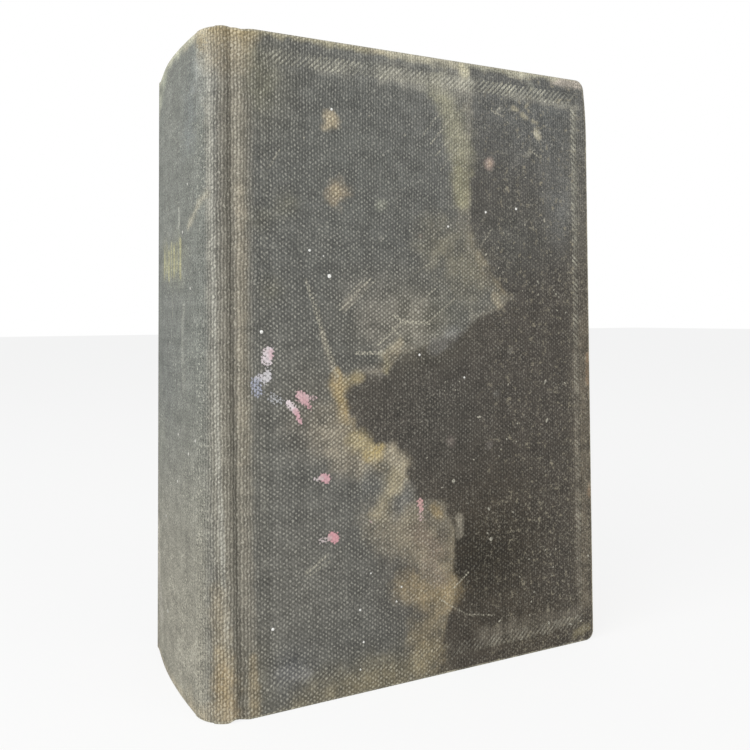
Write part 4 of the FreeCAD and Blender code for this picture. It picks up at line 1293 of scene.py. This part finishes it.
specks = [
    (32.8, 137.6, 1.4), (25.8, 145.9, 0.9), (30.7, 144.2, 0.5), (9.4, 119.6, 1.2), (33.8, 193, 0.9),
    (78.8, 156, 0.8), (66.7, 110.9, 0.9), (85, 102.4, 0.8), (108.5, 163.9, 1.0), (94.9, 162, 0.9),
    (13, 26.4, 1.0), (43.4, 27.4, 0.8), (59, 32.6, 0.7), (44.6, 16.7, 0.7), (43.4, 8, 0.7), (57, 28, 0.7),
    (47.4, 38.8, 0.6),
]
chips = [
    (94.9, 146.6, 1.2), (121.6, 160.2, 1.5), (123.2, 158, 0.8), (102.8, 154.8, 1.0), (105.1, 154.3, 0.8),
    (112.5, 158.2, 1.0), (100.3, 149.1, 0.8), (100.3, 141.8, 0.8), (102.3, 140.3, 0.8), (118.2, 136.9, 1.2),
    (126.7, 132.4, 1.0), (128, 131.2, 0.9), (125.6, 133.9, 0.8), (127.2, 126.1, 0.9), (131.2, 125.3, 1.0),
    (111, 133.5, 0.8), (118.2, 132.1, 0.9), (104, 99, 0.9), (121, 99.4, 1.6), (130.4, 98.5, 1.0),
    (91.2, 88, 1.6), (121.6, 84.9, 1.7), (107.9, 84.6, 0.9), (103.1, 79.2, 0.9), (100.5, 75.8, 0.8),
    (99.7, 73.4, 0.8), (107.4, 78, 0.8), (88.6, 73, 0.9), (69.3, 75.2, 0.9), (80.1, 66.2, 1.8),
    (75.5, 64.4, 0.9), (82.9, 101, 0.7), (81.2, 98.1, 0.7), (76.7, 98, 0.7), (77, 101.1, 0.7),
    (94.9, 54.8, 1.4), (105.7, 52.5, 1.0), (95.7, 44, 1.8), (94.3, 46.3, 1.0), (140.6, 32, 1.2),
    (125, 36.6, 0.9), (112.5, 34.6, 0.9), (122.4, 34.9, 0.9), (120, 36.9, 0.8), (114.7, 22.3, 0.9),
    (113.3, 19, 0.8), (108.2, 28.7, 0.9), (123, 27, 0.8), (123.6, 30.1, 0.8), (135.2, 31.8, 1.0),
    (112.5, 14.2, 0.9), (99.1, 14.4, 1.1), (121.3, 9.9, 1.4), (131.5, 7.6, 1.5), (136.6, 8, 1.2),
    (9, 190.3, 0.8), (24, 182.6, 0.8), (47.7, 192.3, 0.9), (61.6, 187.2, 0.8), (95, 193, 0.9),
    (115.3, 186.6, 0.8), (118.2, 184.6, 0.8), (113, 176, 0.7), (121, 171, 0.7), (104, 171, 0.7),
    (110, 191, 0.7), (98, 200.4, 0.8), (99.6, 198.6, 0.9), (101.4, 200.6, 0.9), (103.8, 199.4, 0.8),
    (119.8, 193.4, 1.6), (117.4, 194.8, 1.3), (105, 196, 0.7),
]
spine_chips = [
    (-23, 168), (-20, 133.7), (-28.5, 152.7), (-33, 85.2), (-15, 85.3), (-33.7, 69.5), (-21.6, 80.3),
    (-51, 54.3), (-47.5, 22.2),
]
bead_points = [(0, 0, 1.0)]
for lift, reach in ((0.8, 0.6), (0.4, 0.92), (-0.2, 1.0)):
    for corner in range(10):
        turn = corner * math.pi / 5
        bead_points.append((reach * (1 + 0.16 * math.cos(2.3 * corner)) * math.cos(turn),
                            reach * (1 + 0.16 * math.sin(3.1 * corner)) * math.sin(turn), lift))
faces = [(0, 1 + i, 1 + (i + 1) % 10) for i in range(10)]
for row in (0, 1):
    a, b = 1 + 10 * row, 11 + 10 * row
    faces += [(a + i, b + i, b + (i + 1) % 10, a + (i + 1) % 10) for i in range(10)]
faces.append(tuple(range(30, 20, -1)))
bead = new_mesh("bead", bead_points, faces)
bead.polygons.foreach_set("use_smooth", [True] * len(faces))
bead_object = bpy.data.objects.new("bead", bead)
tree, given = start_growth("paint_specks", Height=0.00016, Squeeze=0.0)
info = add(tree, "GeometryNodeObjectInfo", {"Object": bead_object})
half = add(tree, "GeometryNodeInputNamedAttribute", {"Name": "half"}, data_type="FLOAT")
facing = add(tree, "GeometryNodeInputNamedAttribute", {"Name": "facing"}, data_type="FLOAT")
odd = add(tree, "FunctionNodeRandomValue", {2: 0.0, 3: 1.0, "Seed": 3}, data_type="FLOAT")
chip = add(tree, "GeometryNodeInputNamedAttribute", {"Name": "tint"}, data_type="FLOAT")
squeeze = add(tree, "ShaderNodeMath", chip, given.outputs["Squeeze"], operation="MULTIPLY")
long = add(tree, "ShaderNodeMath", odd, squeeze, 1.0, operation="MULTIPLY_ADD")
short = add(tree, "ShaderNodeMath", half, long, operation="DIVIDE")
long = add(tree, "ShaderNodeMath", half, long, operation="MULTIPLY")
size = add(tree, "ShaderNodeCombineXYZ", long, short, given.outputs["Height"])
spin = add(tree, "ShaderNodeMath", odd, 17.0, operation="MULTIPLY")
upright_turn = add(tree, "FunctionNodeEulerToRotation", add(tree, "ShaderNodeCombineXYZ", {
    0: math.pi / 2, 2: facing}))
own_turn = add(tree, "FunctionNodeEulerToRotation", add(tree, "ShaderNodeCombineXYZ", {2: spin}))
turned = add(tree, "FunctionNodeRotateRotation", upright_turn, own_turn, rotation_space="LOCAL")
copies = add(tree, "GeometryNodeInstanceOnPoints", {
    "Points": given.outputs["Geometry"], "Instance": info.outputs["Geometry"], "Rotation": turned,
    "Scale": size})
end_growth(tree, copies, white_bead)
on_cover = [(hinge_x + s / 1000, -face_y, z / 1000) for s, z, _ in specks + chips]
on_spine = []
for s, z in spine_chips:
    (x, ahead_x), (y, ahead_y) = spine_point(np.array([s, s - 0.1]), 0.0)
    heading = math.atan2(-(ahead_y - y), ahead_x - x) + math.pi
    on_spine.append(((hinge_x + x / 1000, -y / 1000, z / 1000), heading))
cover_halves = [size / 2000 for _, _, size in specks] + [size / 2500 for _, _, size in chips]
cover_tints = [0.0] * len(specks) + [1.0] * len(chips)
spine_spots, spine_facings = zip(*on_spine)
for name, spots, halves, facings, tints, squeeze, body in (
        ("cover_specks", on_cover, cover_halves, [0.0] * len(on_cover), cover_tints, 0.5, "front_cover"),
        ("spine_specks", spine_spots, [0.0005] * len(on_spine), spine_facings, [0.5] * len(on_spine),
         0.3, "book_block")):
    seeds = new_mesh(name, spots, [])
    store(seeds, "half", halves)
    store(seeds, "facing", facings)
    store(seeds, "tint", tints)
    beads = grow(name, seeds, tree, Squeeze=squeeze)
    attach(beads, body)


# Floor and light. A plain pale floor, one large soft window-like lamp from the front left, and
# even light from all round.
# Pale matt paint, lit enough to look white and still take the shadow of the book.
floor_paint, tree = new_material("pale_floor")
seen = add(tree, "ShaderNodeLightPath")
matt = add(tree, "ShaderNodeBsdfDiffuse", {"Color": linear("#f2f2f0")})
glow = add(tree, "ShaderNodeEmission", {"Color": (1, 1, 1, 1), "Strength": 1.0})
share = add(tree, "ShaderNodeMath", seen.outputs["Is Camera Ray"], 0.84, operation="MULTIPLY")
both = add(tree, "ShaderNodeMixShader", share, matt, glow)
add(tree, "ShaderNodeOutputMaterial", {"Surface": both})
mesh = new_mesh("floor", [(-6, -6, 0), (6, -6, 0), (6, 6, 0), (-6, 6, 0)], [(0, 1, 2, 3)])
floor = new_piece("floor", mesh, floor_paint)

world = bpy.data.worlds.new("studio")
scene.world = world
world.use_nodes = True
tree = world.node_tree
tree.nodes.clear()
seen = add(tree, "ShaderNodeLightPath")
direct = add(tree, "ShaderNodeMath", seen.outputs["Is Camera Ray"], seen.outputs["Is Glossy Ray"],
             operation="MAXIMUM")
direct = add(tree, "ShaderNodeMath", direct, seen.outputs["Is Transmission Ray"], operation="MAXIMUM")
even = add(tree, "ShaderNodeBackground", {"Color": linear("#e6e8ea"), "Strength": 0.5})
white = add(tree, "ShaderNodeBackground", {"Color": (1, 1, 1, 1), "Strength": 1.0})
sky = add(tree, "ShaderNodeMixShader", direct, even, white)
add(tree, "ShaderNodeOutputWorld", {"Surface": sky})

for name, place, size, power in (("window", (-0.95, -0.45, 0.6), 0.9, 11.5),
                                 ("bounce", (0.5, -1.0, 0.4), 0.9, 4.5)):
    lamp = bpy.data.objects.new(name, bpy.data.lights.new(name, "AREA"))
    scene.collection.objects.link(lamp)
    lamp.data.size = size
    lamp.data.energy = power
    lamp.location = place
    lamp.rotation_euler = (Vector((0, 0, 0.1)) - Vector(place)).to_track_quat("-Z", "Y").to_euler()
